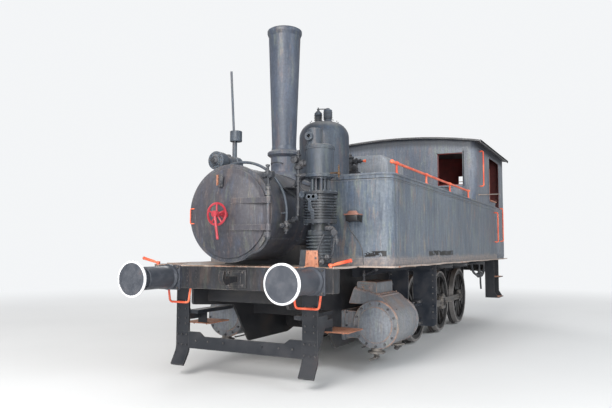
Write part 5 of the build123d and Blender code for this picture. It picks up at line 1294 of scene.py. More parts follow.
@dataclass
class BeamEnds(Assembly):
    """Bolts, hook plates and handles of the two buffer beams."""

    jobs = ("bolts", "hook_plates", "handles")
    face: float = 600.0
    length: float = 8800.0
    spread: float = 875.0
    height: float = 1050.0
    bolt_reach: float = 122.0
    hook_plate: float = 92.0

    def bolts(self) -> None:
        """Nuts on the buffer bases and rivets on the beams."""
        nuts = Piece("beam_bolts", "beam")
        for end in (1, -1):
            out = AHEAD * end
            face = self.face if end == 1 else self.length - self.face
            base = face - end * 22
            for side in (1, -1):
                for across in (-1, 1):
                    for rise in (-1, 1):
                        place = spot(base, side * self.spread + across * self.bolt_reach,
                            self.height - 3 + rise * self.bolt_reach * 0.92)
                        nuts.bolt(place, out, 15)
                for across in (520, 640):
                    nuts.row(spot(face, side * across, 968), spot(face, side * across, 1140), out,
                        5, 10)
                nuts.row(spot(face, side * 180, 1150), spot(face, side * 480, 1150), out, 5, 9)
        nuts.place()

    def hook_plates(self) -> None:
        """Plates and nuts round the draw hooks."""
        plates = Piece("hook_plates", "beam")
        for end in (1, -1):
            face = self.face if end == 1 else self.length - self.face
            half = self.hook_plate
            for y0, y1 in ((-half - 30, -38), (38, half + 30)):
                plates.block((face - end * 14, face + end * 2), (y0, y1),
                    (self.height - half, self.height + half), 3)
            for z0, z1 in ((self.height - half, self.height - 54),
                    (self.height + 54, self.height + half)):
                plates.block((face - end * 13, face + end * 2), (-38, 38), (z0, z1), 3)
            for side in (-1, 1):
                for rise in (-1, 1):
                    plates.bolt(spot(face - end * 14, side * (half - 6),
                        self.height + rise * (half - 26)), AHEAD * end, 14)
        plates.place()

    def handles(self) -> None:
        """Red handles pivoted on the front corners of the plate."""
        for side, label in SIDES:
            handle = Piece(label + "_cock_handle", "rail_red")
            pivot = spot(618, side * 1066, 1201)
            handle.turned(spot(618, side * 1066, 1184), UP,
                [(0, 0), (16, 0), (16, 8), (24, 12), (24, 30), (16, 36), (0, 36)], 16)
            line = [pivot + Vector((0, side * 0.005, 0)), spot(618, side * 1120, 1216),
                spot(618, side * 1276, 1252)]
            handle.tube(eased(line, 20), 11, 12, tip=17)
            handle.turned(spot(618, side * 1272, 1251), Vector((0, side, 0.24)),
                [(0, -6), (16, -4), (20, 4), (16, 12), (0, 16)], 14)
            handle.place()


@dataclass
class GuardTrim(Assembly):
    """Bolts on the rail guards and the rusty treads of the steps."""

    jobs = ("bolts", "treads")
    tread_front: Range = (1086.0, 1484.0)
    tread_sides: Range = (696.0, 1044.0)
    tread_top: float = 504.0
    guard_face: float = 720.0
    rear_treads: Range = (7184.0, 7656.0)

    def bolts(self) -> None:
        """Bolts along the guards."""
        nuts = Piece("guard_bolts", "guard")
        for levels, sides, size in (
            ((540, 600, 700, 790), (742, 838), 10), ((310, 420), (730, 790, 850), 11), ((360,),
                (240, 440, 600), 11),
        ):
            for height in levels:
                for across in sides:
                    nuts.bolt(spot(self.guard_face, across, height), AHEAD, size)
                    nuts.bolt(spot(self.guard_face, -across, height), AHEAD, size)
        nuts.place()

    def treads(self) -> None:
        """Rusty skins with raised bars on the steps."""
        for side, label in SIDES:
            tread = Piece(label + "_front_tread", "step")
            s, y, top = self.tread_front, self.tread_sides, self.tread_top
            tread.block(s, (side * y[0], side * y[1]), (top - 9, top + 4), 3)
            for index in range(7):
                start = s[0] + 30 + index * 50
                tread.block((start, start + 14), (side * (y[0] + 30), side * (y[1] - 30)),
                    (top + 3, top + 7), 2)
            for across in (780, 960):
                tread.bolt(spot(s[0] + 60, side * across, top - 9), -UP, 12)
            tread.place()
            rear = Piece(label + "_rear_treads", "step")
            for height in (842, 462):
                rear.block(self.rear_treads, (side * 1234, side * 1476), (height - 1, height + 4), 2)
                for index in range(7):
                    start = self.rear_treads[0] + 30 + index * 62
                    rear.block((start, start + 14), (side * 1255, side * 1455),
                        (height + 3, height + 7), 2)
            rear.place()


@dataclass
class SmokeboxFront(Assembly):
    """Fittings on the smokebox and its door."""

    jobs = ("rivets", "door_trim", "hinge_fittings", "wrap_valve", "side_bracket", "small_grab")
    station: float = 460.0
    height: float = BOILER_HEIGHT
    radius: float = 488.0
    rod_side: float = 488.0
    rod_station: float = 412.0

    def shell_point(self, station: float, turn: float, lift: float = 0.0) -> tuple[Vector, Vector]:
        """Point on the shell and the direction that it faces there.

        Args:
            station: station in mm.
            turn: angle from the left side upwards, in degrees.
            lift: distance off the shell, in mm.

        Returns:
            The point and the outward direction.
        """
        out = radial(turn)
        return spot(station, 0, self.height) + out * ((self.radius + lift) / 1000), out

    def rivets(self) -> None:
        """Rows of rivets round the shell and along its foot."""
        heads = Piece("smokebox_rivets", "smokebox")
        for station in (1180, 1996):
            for index in range(52):
                place, out = self.shell_point(station, index * 360 / 52)
                heads.rivet(place, out, 9)
        for station in range(560, 1960, 62):
            for turn in (-32, 212):
                place, out = self.shell_point(station, turn)
                heads.rivet(place, out, 8)
        for index in range(60):
            turn = tau * index / 60
            heads.rivet(spot(self.station, 480 * sin(turn), self.height + 480 * cos(turn)), AHEAD, 5.5)
        heads.place()

    def door_trim(self) -> None:
        """Strap rivets and lamp iron of the door, with the iron's orange edge."""
        trim = Piece("door_trim", "door", "smokebox_door")
        for level in (118, -150):
            for across in (140, 230, 320, 400):
                trim.rivet(spot(self.station - 78 + across * 0.045, across, self.height + level),
                    AHEAD, 9)
        trim.place()
        iron = Piece("door_lamp_iron", "pipe", "smokebox_door")
        base = self.station - 74
        iron.block((base - 8, base + 6), (-84, -36), (1990, 2118), 3)
        iron.block((base - 34, base - 6), (-80, -42), (1994, 2006), 3)
        for height in (2022, 2092):
            iron.bolt(spot(base - 8, -52, height), AHEAD, 8)
        iron.place()
        edge = Piece("door_lamp_iron_edge", "orange_iron", "smokebox_door")
        edge.prism(path((base + 4, -90, 1994), (base - 34, -90, 2000), (base - 34, -90, 2110),
            (base + 4, -90, 2116)), LEFT * 0.006, 1.5)
        edge.place()

    def hinge_fittings(self) -> None:
        """Elbow, valve and drain pipe at the ends of the hinge rod."""
        fittings = Piece("hinge_rod_fittings", "pipe")
        x, y = self.rod_station, self.rod_side
        foot = self.height - 250
        fittings.turned(spot(x, y, foot - 26), UP,
            [(0, 0), (20, 0), (24, 8), (24, 40), (18, 48), (0, 48)], 14)
        fittings.pipe(((x, y, foot - 10), (x, y - 22, foot - 62), (x + 6, y - 100, foot - 132),
            (x + 10, 300, 1322), (x + 16, 196, 1256)), 15, 50, 12)
        top = self.height + 250
        fittings.turned(spot(x, y, top), UP,
            [(0, 0), (22, 0), (22, 16), (14, 20), (14, 110), (0, 110)], 14)
        top += 68
        fittings.turned(spot(x, y - 56, top + 46), LEFT,
            [(0, 0), (30, 0), (34, 10), (34, 30), (22, 40), (22, 84), (34, 90), (34, 116), (0, 116)],
            16)
        fittings.turned(spot(x, y - 6, top + 46), UP,
            [(0, 0), (24, 0), (24, 40), (14, 50), (14, 80), (22, 84), (22, 100), (0, 106)], 14)
        fittings.turned(spot(x - 8, y + 30, top + 30), AHEAD,
            [(0, -20), (22, -18), (22, 26), (12, 34), (0, 34)], 14)
        fittings.pipe(((x, y - 50, top + 46), (x + 40, y - 96, top + 52), (x + 100, y - 112, top + 30)),
            10, 30, 10)
        fittings.block((x + 20, x + 60), (y - 30, y + 8), (top - 6, top + 60), 4)
        fittings.place()

    def wrap_valve(self) -> None:
        """Valve at the lower end of the pipe that wraps over the smokebox."""
        valve = Piece("wrap_pipe_valve", "pipe")
        station = self.station + 215
        valve.turned(spot(station, 542, 1640), -UP,
            [(0, 0), (20, 0), (24, 8), (24, 30), (18, 36), (18, 70), (30, 78), (30, 100), (14, 104),
            (14, 128), (0, 132)], 14)
        valve.turned(spot(station - 40, 542, 1594), AHEAD,
            [(0, -50), (26, -48), (30, -36), (30, -22), (18, -16), (18, 26), (26, 30), (26, 50),
            (0, 54)], 14)
        valve.turned(spot(station, 500, 1600), LEFT,
            [(0, -30), (20, -28), (20, 30), (28, 36), (28, 56), (0, 60)], 14)
        valve.turned(spot(station - 10, 574, 1606), Vector((0.3, 1, -0.4)),
            [(0, -20), (13, -18), (13, 24), (20, 28), (20, 36), (0, 38)], 12)
        valve.bolt(spot(station - 96, 542, 1594), AHEAD, 12)
        valve.place()

    def side_bracket(self) -> None:
        """Triangular black bracket on the shell's left side."""
        bracket = Piece("smokebox_side_bracket", "pipe")
        inner, outer = 392, 470
        bracket.prism(path((780, inner, 1990), (780, outer, 1990), (780, outer, 2002),
            (780, inner, 2002)), Vector((-0.294, 0, 0.02)), 2)
        bracket.prism(path((1058, inner, 2012), (1058, outer, 2012), (1058, outer - 8, 1980),
            (1058, outer - 20, 1894), (1058, inner + 40, 1894)), AHEAD * -0.014, 1.5)
        bracket.tube(path((792, outer - 10, 1990), (1062, outer - 22, 1900)), 8, 8)
        for station, height in ((830, 2005), (1010, 2017)):
            bracket.bolt(spot(station, outer - 26, height), UP, 8)
        bracket.place()

    def small_grab(self) -> None:
        """Red grab beside the right-hand edge of the door."""
        grab = Piece("smokebox_small_grab", "rail_red")
        x = self.station - 4
        grab.pipe(((x + 8, -434, 1777), (x - 24, -436, 1777), (x - 24, -476, 1777),
            (x - 24, -476, 1622), (x - 24, -436, 1622), (x + 8, -434, 1622)), 6, 12, 8, 4)
        grab.place()


@dataclass
class ChimneyTrim(Assembly):
    """Saddle plate, bolts and handle at the chimney's foot."""

    station: float = 1580.0
    saddle_inner: float = 200.0
    saddle_outer: float = 318.0
    shell: float = 488.0
    flange_height: float = 2484.0

    def on_shell(self, radius: float, turn: float, lift: float) -> Vector:
        """Point of the saddle on the shell.

        Args:
            radius: distance from the chimney's axis, in mm.
            turn: angle round the chimney, in radians.
            lift: distance off the shell, in mm.

        Returns:
            The point, in metres.
        """
        side = radius * sin(turn)
        height = BOILER_HEIGHT + sqrt((self.shell + lift) ** 2 - side**2)
        return spot(self.station + radius * cos(turn), side, height)

    def build(self) -> None:
        """Builds the saddle plate, its rivets, a black line of painted shadow round the saddle's edge,
        the flange bolts and the handle.
        """
        saddle = Piece("chimney_saddle", "chimney")
        count = 56
        levels = ((self.saddle_inner, 1), (self.saddle_inner, 14), (self.saddle_outer - 4, 12),
            (self.saddle_outer, 7), (self.saddle_outer, 1))
        turns = [tau * index / count for index in range(count)]
        saddle.skin([[self.on_shell(radius, turn, lift) for turn in turns] for radius, lift in levels],
            True)
        for index in range(20):
            place = self.on_shell(self.saddle_outer - 32, tau * index / 20, 11)
            out = Vector((0, place.y, place.z - RAIL_TOP - BOILER_HEIGHT / 1000)).normalized()
            saddle.rivet(place, out, 9)
        saddle.place()
        # Painted shadow: a black line round the saddle's outer edge, where the gap under it is in
        # shade.
        saddle_shadow = Piece("chimney_saddle_shadow_line", "black")
        saddle_shadow.tube([self.on_shell(self.saddle_outer + 3, turn, 2) for turn in turns], 5, 8, True)
        saddle_shadow.place()
        bolts = Piece("chimney_flange_bolts", "chimney")
        for index in range(12):
            turn = tau * (index + 0.5) / 12
            place = spot(self.station + 182 * cos(turn), 182 * sin(turn), self.flange_height + 14)
            bolts.bolt(place, UP, 10)
        bolts.place()
        handle = Piece("chimney_base_handle", "pipe")
        handle.pipe(((self.station - 178, -66, 2346), (self.station - 206, -60, 2356),
            (self.station - 214, 0, 2366), (self.station - 206, 76, 2356),
            (self.station - 170, 84, 2346)), 7, 26, 10)
        handle.place()


@dataclass
class GeneratorTrim(Assembly):
    """Bolts, bands and wiring of the turbine generator."""

    station: float = 600.0
    side: float = -300.0
    height: float = 2308.0
    radius: float = 98.0

    def build(self) -> None:
        """Builds the trim."""
        trim = Piece("generator_trim", "pipe")
        face = spot(self.station + 20, self.side, self.height)
        trim.circle(face, AHEAD, self.radius - 16, 12, 8, 15)
        trim.turned(spot(self.station + 4, self.side, self.height), AHEAD,
            [(0, -8), (46, -8), (46, 10), (36, 22), (20, 28), (20, 44), (0, 46)], 20)
        trim.bolt(spot(self.station - 40, self.side, self.height), AHEAD, 12)
        for index in range(5):
            arm = radial(30 + 72 * index)
            trim.tube([face + arm * 0.03 + AHEAD * 0.002, face + arm * 0.074 + AHEAD * 0.004], 7, 8)
        for along in (170, 240, 310):
            trim.turned(spot(self.station + along, self.side, self.height), -AHEAD,
                [(0, 0), (self.radius * 0.76, 0), (self.radius * 0.78, 3), (self.radius * 0.78, 11),
                (self.radius * 0.76, 14), (0, 14)], 28)
        trim.turned(spot(self.station + 250, self.side, self.height + 60), UP,
            [(0, 0), (34, 0), (34, 26), (24, 34), (0, 34)], 18)
        trim.pipe(((self.station + 420, self.side, self.height - 20),
            (self.station + 520, self.side, self.height - 60),
            (self.station + 560, self.side - 20, self.height - 190),
            (self.station + 560, self.side - 60, 2100)), 10, 60, 10)
        trim.pipe(((self.station + 60, self.side + 70, self.height - 50),
            (self.station + 60, self.side + 130, self.height - 96),
            (self.station + 110, self.side + 210, self.height - 120),
            (self.station + 260, self.side + 250, self.height - 108)), 12, 60, 10)
        for along in (190, 330):
            for across in (-60, 60):
                trim.bolt(spot(self.station + along, self.side + across * 1.15, 2168), UP, 9)
        trim.place()


@dataclass
class CompressorTrim(Assembly):
    """Bolts, cocks and pipes of the compressor on the left deck."""

    jobs = ("bolts", "valve_head", "valve_pad", "cocks", "supply", "bracket")
    station: float = 800.0
    side: float = 862.0
    fin_radius: float = 169.0
    steam_radius: float = 142.0
    deck: float = 1184.0
    supply_side: float = 614.0
    pad_face: float = 660.0

    def centre(self, height: float) -> Vector:
        """Point on the compressor's axis."""
        return spot(self.station, self.side, height)

    def bolts(self) -> None:
        """Nuts round the flanges and bands round the steam cylinder."""
        nuts = Piece("compressor_bolts", "compressor")
        for height, out, radius, count, size, start in (
            (2105, UP, self.steam_radius - 2, 12, 8, 0), (1929, UP, self.fin_radius - 4, 14, 9, 0),
            (1613, -UP, 150, 12, 9, 0), (1537, UP, 108, 12, 8, 0),
            (2397, UP, self.steam_radius - 16, 10, 9, 18),
        ):
            nuts.circle(self.centre(height), out, radius, count, size, start)
        for height in (2362, 2378):
            nuts.turned(self.centre(height), UP,
                [(self.steam_radius, 0), (self.steam_radius + 9, 1), (self.steam_radius + 9, 8),
                (self.steam_radius, 9)], 48)
        for turn in range(0, 360, 30):
            angle = radians(turn)
            out = Vector((cos(angle), sin(angle), 0))
            nuts.tube([self.centre(1944) + out * 0.088, self.centre(2062) + out * 0.088]
                if turn % 60 == 0 else [self.centre(1930) + out * 0.09, self.centre(1946) + out * 0.09],
                7, 8)
        nuts.circle(self.centre(2518) + Vector((0.006, -0.056, 0)), UP, 56, 6, 9)
        nuts.place()

    def valve_head(self) -> None:
        """Valve head on top of the steam cylinder, with a round mouth that faces forward."""
        head = Piece("compressor_valve_head", "compressor")
        axis = spot(self.station - 6, self.side - 56, 2400)
        head.turned(axis, UP, [(0, 150), (66, 150), (76, 156), (80, 164), (80, 172), (70, 176),
            (52, 178), (52, 186), (0, 188)], 28)
        head.turned(axis, UP, [(80, 8), (86, 10), (86, 20), (80, 22)], 28)
        mouth = spot(self.station - 112, self.side - 74, 2493)
        head.turned(mouth, AHEAD, [(20, -50), (20, 2), (44, 2), (44, -12), (34, -14), (34, -60)], 24)
        head.circle(mouth, AHEAD, 36, 4, 6, 45)
        dark = Piece("compressor_mouth_shadow", "black")
        dark.turned(mouth, AHEAD, [(0, -44), (20, -44), (20, -40), (0, -40)], 20)
        head.place()
        dark.place()

    def valve_pad(self) -> None:
        """Oval pad with three bores on the upper air cylinder, a rib below it and its cocks."""
        pad = Piece("compressor_valve_pad", "compressor")
        y0, y1, z0, z1 = 786, 916, 1836, 1912
        middle, half = (z0 + z1) / 2, (z1 - z0) / 2
        outline = []
        for index in range(24):
            turn = tau * index / 24
            across = (y1 - half if cos(turn) > 0 else y0 + half) + half * cos(turn)
            outline.append(spot(self.pad_face, across, middle + half * sin(turn)))
        pad.prism(outline, AHEAD * 0.03, 4)
        for across in (y0 + 36, y1 - 44):
            pad.ring(spot(630, across, middle), AHEAD, 20, 4, 20, 6)
        pad.turned(spot(668, 740, 1900), Vector((1, -0.2, 0)),
            [(0, -30), (24, -28), (24, 10), (34, 14), (34, 26), (22, 28), (16, 22), (0, 22)], 18)
        pad.prism(path((664, 812, 1838), (664, 846, 1838), (664, 846, 1770), (664, 878, 1740),
            (664, 878, 1652), (664, 846, 1652), (664, 846, 1716), (664, 812, 1748)), AHEAD * 0.03, 3)
        pad.block((640, 680), (846, 926), (1610, 1640), 5)
        pad.place()
        # Black discs in the bores: painted shade inside them.
        bores = Piece("compressor_pad_bore_shadows", "black")
        for across in (y0 + 36, y1 - 52, y1 - 36):
            bores.turned(spot(631, across, middle), AHEAD, [(0, -4), (17, -4), (17, 1), (0, 1)], 18)
        bores.place()

    def cocks(self) -> None:
        """Angled cock, lower fittings and the brass cock."""
        cocks = Piece("compressor_cocks", "pipe")
        cocks.turned(spot(700, 1000, 1560), Vector((0.3, 1, 0)),
            [(0, -20), (26, -18), (26, 26), (20, 30), (20, 56), (0, 60)], 14)
        cocks.pipe(((690, 1040, 1560), (676, 1074, 1556), (668, 1096, 1500), (664, 1110, 1444)), 15,
            26, 12)
        cocks.turned(spot(664, 1110, 1450), -UP,
            [(0, 0), (22, 0), (22, 20), (12, 24), (12, 46), (0, 48)], 12)
        cocks.turned(spot(672, 1090, 1520), AHEAD,
            [(0, -20), (20, -18), (20, 24), (28, 28), (28, 38), (0, 40)], 14)
        for across, height, size in ((905, 1272, 30), (955, 1236, 26), (1012, 1282, 24)):
            cocks.turned(spot(664, across, height), AHEAD,
                [(0, -70), (size * 0.7, -70), (size * 0.7, -4), (size, 0), (size, 22), (size * 0.5, 26),
                (size * 0.5, 40), (0, 42)], 14)
            cocks.bolt(spot(624, across, height), AHEAD, size * 0.4)
        cocks.pipe(((664, 905, 1272), (650, 905, 1330), (664, 930, 1420), (690, 960, 1500)), 9, 40, 10)
        cocks.pipe(((690, 1000, 1282), (676, 1050, 1288), (676, 1066, 1350), (690, 1076, 1480)), 10,
            40, 10)
        cocks.place()
        brass = Piece("compressor_brass_cock", "brass")
        brass.turned(spot(758, 996, 2112), LEFT,
            [(0, -10), (7, -10), (7, 60), (12, 62), (12, 70), (7, 72), (7, 96), (0, 98)], 14)
        brass.turned(spot(758, 1090, 2078), UP,
            [(0, -14), (6, -14), (7, 8), (14, 14), (17, 26), (14, 38), (8, 44), (8, 80), (12, 84),
            (12, 92), (5, 96), (5, 112), (0, 114)], 12)
        brass.place()

    def supply(self) -> None:
        """Upright steam pipe beside the compressor, with its flanges and valve."""
        pipe = Piece("compressor_steam_pipe", "pipe")
        y = self.supply_side
        pipe.pipe(((800, 500, 1640), (800, y - 20, 1660), (800, y, 1740), (800, y, 2040),
            (800, y, 2240)), 19, 50, 14)
        pipe.turned(spot(800, y, 2010), UP,
            [(0, 0), (28, 0), (28, 22), (38, 26), (38, 44), (26, 48), (26, 92), (38, 96), (38, 112),
            (0, 112)], 16)
        pipe.turned(spot(800, y, 2180), UP,
            [(0, 0), (40, 0), (44, 8), (44, 26), (32, 32), (32, 66), (42, 72), (42, 88), (22, 96),
            (22, 132), (28, 138), (28, 150), (14, 158), (14, 196), (0, 200)], 18)
        pipe.turned(spot(740, y - 4, 2268), Vector((1, -0.15, 0)),
            [(0, -60), (28, -60), (28, 10), (40, 14), (40, 30), (22, 32), (14, 24), (0, 24)], 16)
        pipe.turned(spot(796, y + 10, 2236), LEFT,
            [(0, 0), (26, 0), (26, 40), (38, 44), (38, 60), (24, 66), (24, 112), (0, 116)], 16)
        pipe.turned(spot(800, y + 60, 2110), LEFT,
            [(0, -60), (20, -58), (20, 40), (30, 44), (30, 56), (20, 60), (20, 110), (0, 112)], 14)
        pipe.circle(spot(712, y - 8, 2268), AHEAD, 31, 5, 6)
        pipe.pipe(((800, y + 20, 2050), (760, y + 60, 1980), (740, y + 96, 1950), (730, y + 150, 1944)),
            10, 40, 10)
        pipe.pipe(((860, 700, 2150), (930, 660, 2160), (1000, 600, 2140), (1080, 470, 2090),
            (1120, 380, 2030)), 22, 80, 14)
        for height in (1700, 1780, 1860):
            pipe.turned(spot(800, y, height), UP, [(0, 0), (25, 0), (25, 14), (0, 14)], 14)
        pipe.turned(spot(800, y - 30, 1664), Vector((0, 1, 0.2)),
            [(0, -30), (34, -30), (34, -10), (24, -6), (24, 26), (34, 30), (34, 48), (0, 50)], 14)
        pipe.place()

    def bracket(self) -> None:
        """Rust-orange tapered bracket at the compressor's foot."""
        bracket = Piece("compressor_orange_bracket", "orange_iron")
        face = self.station - 182
        middle = self.side - 1
        outline = path((face, middle - 73, self.deck), (face, middle + 73, self.deck),
            (face, middle + 62, self.deck + 162), (face, middle - 60, self.deck + 162))
        bracket.prism(outline, AHEAD * -0.016, 3)
        bracket.block((face - 12, face + 16), (middle - 77, middle + 77),
            (self.deck, self.deck + 10), 3)
        for across in (-50, 50):
            bracket.bolt(spot(face, middle + across * 0.8, self.deck + 140), AHEAD, 8)
            bracket.bolt(spot(face, middle + across, self.deck + 30), AHEAD, 8)
        bracket.place()


@dataclass
class TankTrim(Assembly):
    """Shelf, hand holds, seams and lid handles of the side tanks."""

    jobs = ("shelf", "seams", "beading", "plate_edges", "rail_feet", "lids", "top_rivets")
    outer: float = 1450.0
    inner: float = 600.0
    front: float = 1280.0
    right_front: float = 2040.0
    rear: float = 7200.0
    top: float = 2162.0
    filler: tuple[float, float, float] = (4200.0, 1120.0, 2262.0)
    corner: float = 130.0
    rail_side: float = 1405.0
    rail_height: float = 2290.0
    bead_end: float = 5476.0

    def shelf(self) -> None:
        """Small shelf on the front of the left tank, with black gussets and a black block under it as
        painted shade.
        """
        shelf = Piece("tank_front_shelf", "red_rust")
        front = self.front
        shelf.block((front - 128, front + 2), (965, 1130), (1716, 1730), 3)
        outline = path((front - 60, 985, 1730), (front - 60, 1110, 1730), (front - 60, 1086, 1762),
            (front - 60, 1006, 1762))
        shelf.prism(outline, AHEAD * 0.03, 4)
        shelf.place()
        # Painted shade under the shelf: black gussets and a black block.
        under = Piece("tank_shelf_gussets_shade", "black")
        for across in (972, 1106):
            outline = path((front, across, 1716), (front - 120, across, 1716), (front, across, 1640))
            under.prism(outline, LEFT * 0.016, 1.5)
        under.block((front - 122, front), (984, 1112), (1652, 1716), 5)
        under.place()
        line = Piece("tank_front_wire", "pipe")
        points = [(952, 1640), (984, 1560), (1058, 1478), (1108, 1400), (1130, 1320), (1138, 1196)]
        line.tube(eased([spot(front - 7, y, z) for y, z in points], 60), 6, 8)
        line.place()

    def seams(self) -> None:
        """Butt strips with flush rivets, and a row of rivets along the foot of the tanks."""
        strips = Piece("tank_strips", "tank")
        for side, front in ((1, self.front), (-1, self.right_front)):
            for station in (front + 200, 5090):
                strips.block((station - 40, station + 40),
                    (side * (self.outer - 4), side * (self.outer + 3)), (1272, self.top - 60), 1.5)
            for station in range(int(front) + 220, int(self.rear) - 60, 78):
                strips.rivet(spot(station, side * (self.outer + 5), 1238), LEFT * side, 6)
            for station in (front + 176, front + 224, 5066, 5114):
                for height in range(1310, 2080, 52):
                    strips.rivet(spot(station, side * (self.outer + 3), height), LEFT * side, 4.5)
        strips.place()

    def beading(self) -> None:
        """Black tubes round the upper edges of the tanks: painted shade of the shadow line under the
        top edge and of the bead below it.
        """
        shadow_beads = Piece("tank_beading_shadow_lines", "black")
        corner = self.corner
        for side, front in ((1, self.front), (-1, self.right_front)):
            line = [(front, self.inner + 4), (front, self.outer - corner)]
            for index in range(1, 12):
                turn = radians(index * 90 / 12)
                line.append((front + corner * (1 - cos(turn)), self.outer - corner * (1 - sin(turn))))
            line += [(front + corner, self.outer), (self.bead_end, self.outer)]
            for height, size in ((self.top - 8, 9), (self.top - 58, 4)):
                shadow_beads.tube([spot(station, side * across, height) for station, across in line], size, 8)
        shadow_beads.place()

    def plate_edges(self) -> None:
        """Pale, bent angle along the outer edges of the running plate."""
        edges = Piece("running_plate_edges", "plate_edge")
        for side in (1, -1):
            for line, square in (
                ([(x, 1480) for x in range(1250, 8201, 50)], (0, side)),
                ([(1250, y) for y in range(1478, 1099, -54)], (1, 0)),
                ([(x, 1100) for x in range(602, 1250, 72)], (0, side)),
            ):
                rings = []
                for station, across in line:
                    sag = 3.5 * sin(station / 260 + side) + 2 * sin(station / 83)
                    out = Vector((square[0], square[1], 0)) * (4 + sag * 0.3) / 1000
                    foot = spot(station, side * across, 1169 + sag * 0.8)
                    top = spot(station, side * across, 1187 + sag * 0.5)
                    rings.append([foot - out, foot + out, top + out, top - out])
                edges.skin(rings)
        edges.place()

    def rail_feet(self) -> None:
        """Nuts on the feet of the tank handrails."""
        feet = Piece("tank_rail_feet", "rail_red")
        for side, posts in ((1, (1580, 2710, 3880, 5060)), (-1, (2300, 3180, 4120, 5060))):
            for station in posts:
                place = spot(station, side * self.rail_side, self.top)
                feet.turned(place, UP, [(0, 0), (34, 0), (34, 5), (18, 9), (15, 26), (0, 26)], 18)
                for along in (-22, 22):
                    feet.bolt(place + Vector((along / 1000, 0, 0.005)), UP, 5, False)
                feet.turned(spot(station, side * self.rail_side, self.rail_height), LEFT * side,
                    [(0, -24), (12, -24), (14, -16), (22, -10), (22, 10), (14, 16), (12, 26), (0, 28)],
                    16)
        feet.place()

    def lids(self) -> None:
        """Handle and clamp on each filler lid, and bolts on the filler's foot."""
        station, across, height = self.filler
        for side, label in SIDES:
            handle = Piece(label + "_lid_handle", "tank", label + "_filler_lid")
            lid_top = height + 22
            handle.pipe(((station, side * (across - 60), lid_top - 4),
                (station, side * (across - 60), lid_top + 8),
                (station, side * (across + 60), lid_top + 8),
                (station, side * (across + 60), lid_top - 4)), 6, 8, 8, 3)
            handle.circle(spot(station, side * across, lid_top), UP, 150, 10, 7)
            handle.place()
            foot = Piece(label + "_filler_bolts", "tank")
            foot.circle(spot(station, side * across, self.top + 8), UP, 214, 16, 8)
            foot.turned(spot(station, side * across, self.top), UP,
                [(196, 0), (228, 0), (228, 8), (196, 9)], 40)
            foot.place()

    def top_rivets(self) -> None:
        """Rivets round the edge of the tank tops and a lifting lug at each end."""
        heads = Piece("tank_top_rivets", "tank")
        for side, front in ((1, self.front), (-1, self.right_front)):
            for station in range(int(front) + 90, 5400, 84):
                for y in (self.outer - 46, self.inner + 26):
                    heads.rivet(spot(station, side * y, self.top), UP, 6)
            for station in (front + 260, 5200):
                heads.block((station - 34, station + 34), (side * 1010, side * 1030),
                    (self.top, self.top + 50), 8)
            heads.block((3200, 3560), (side * 700, side * 1000), (self.top, self.top + 10), 3)
            for station in (3220, 3380, 3540):
                for y in (722, 978):
                    heads.bolt(spot(station, side * y, self.top + 10), UP, 9)
        heads.place()


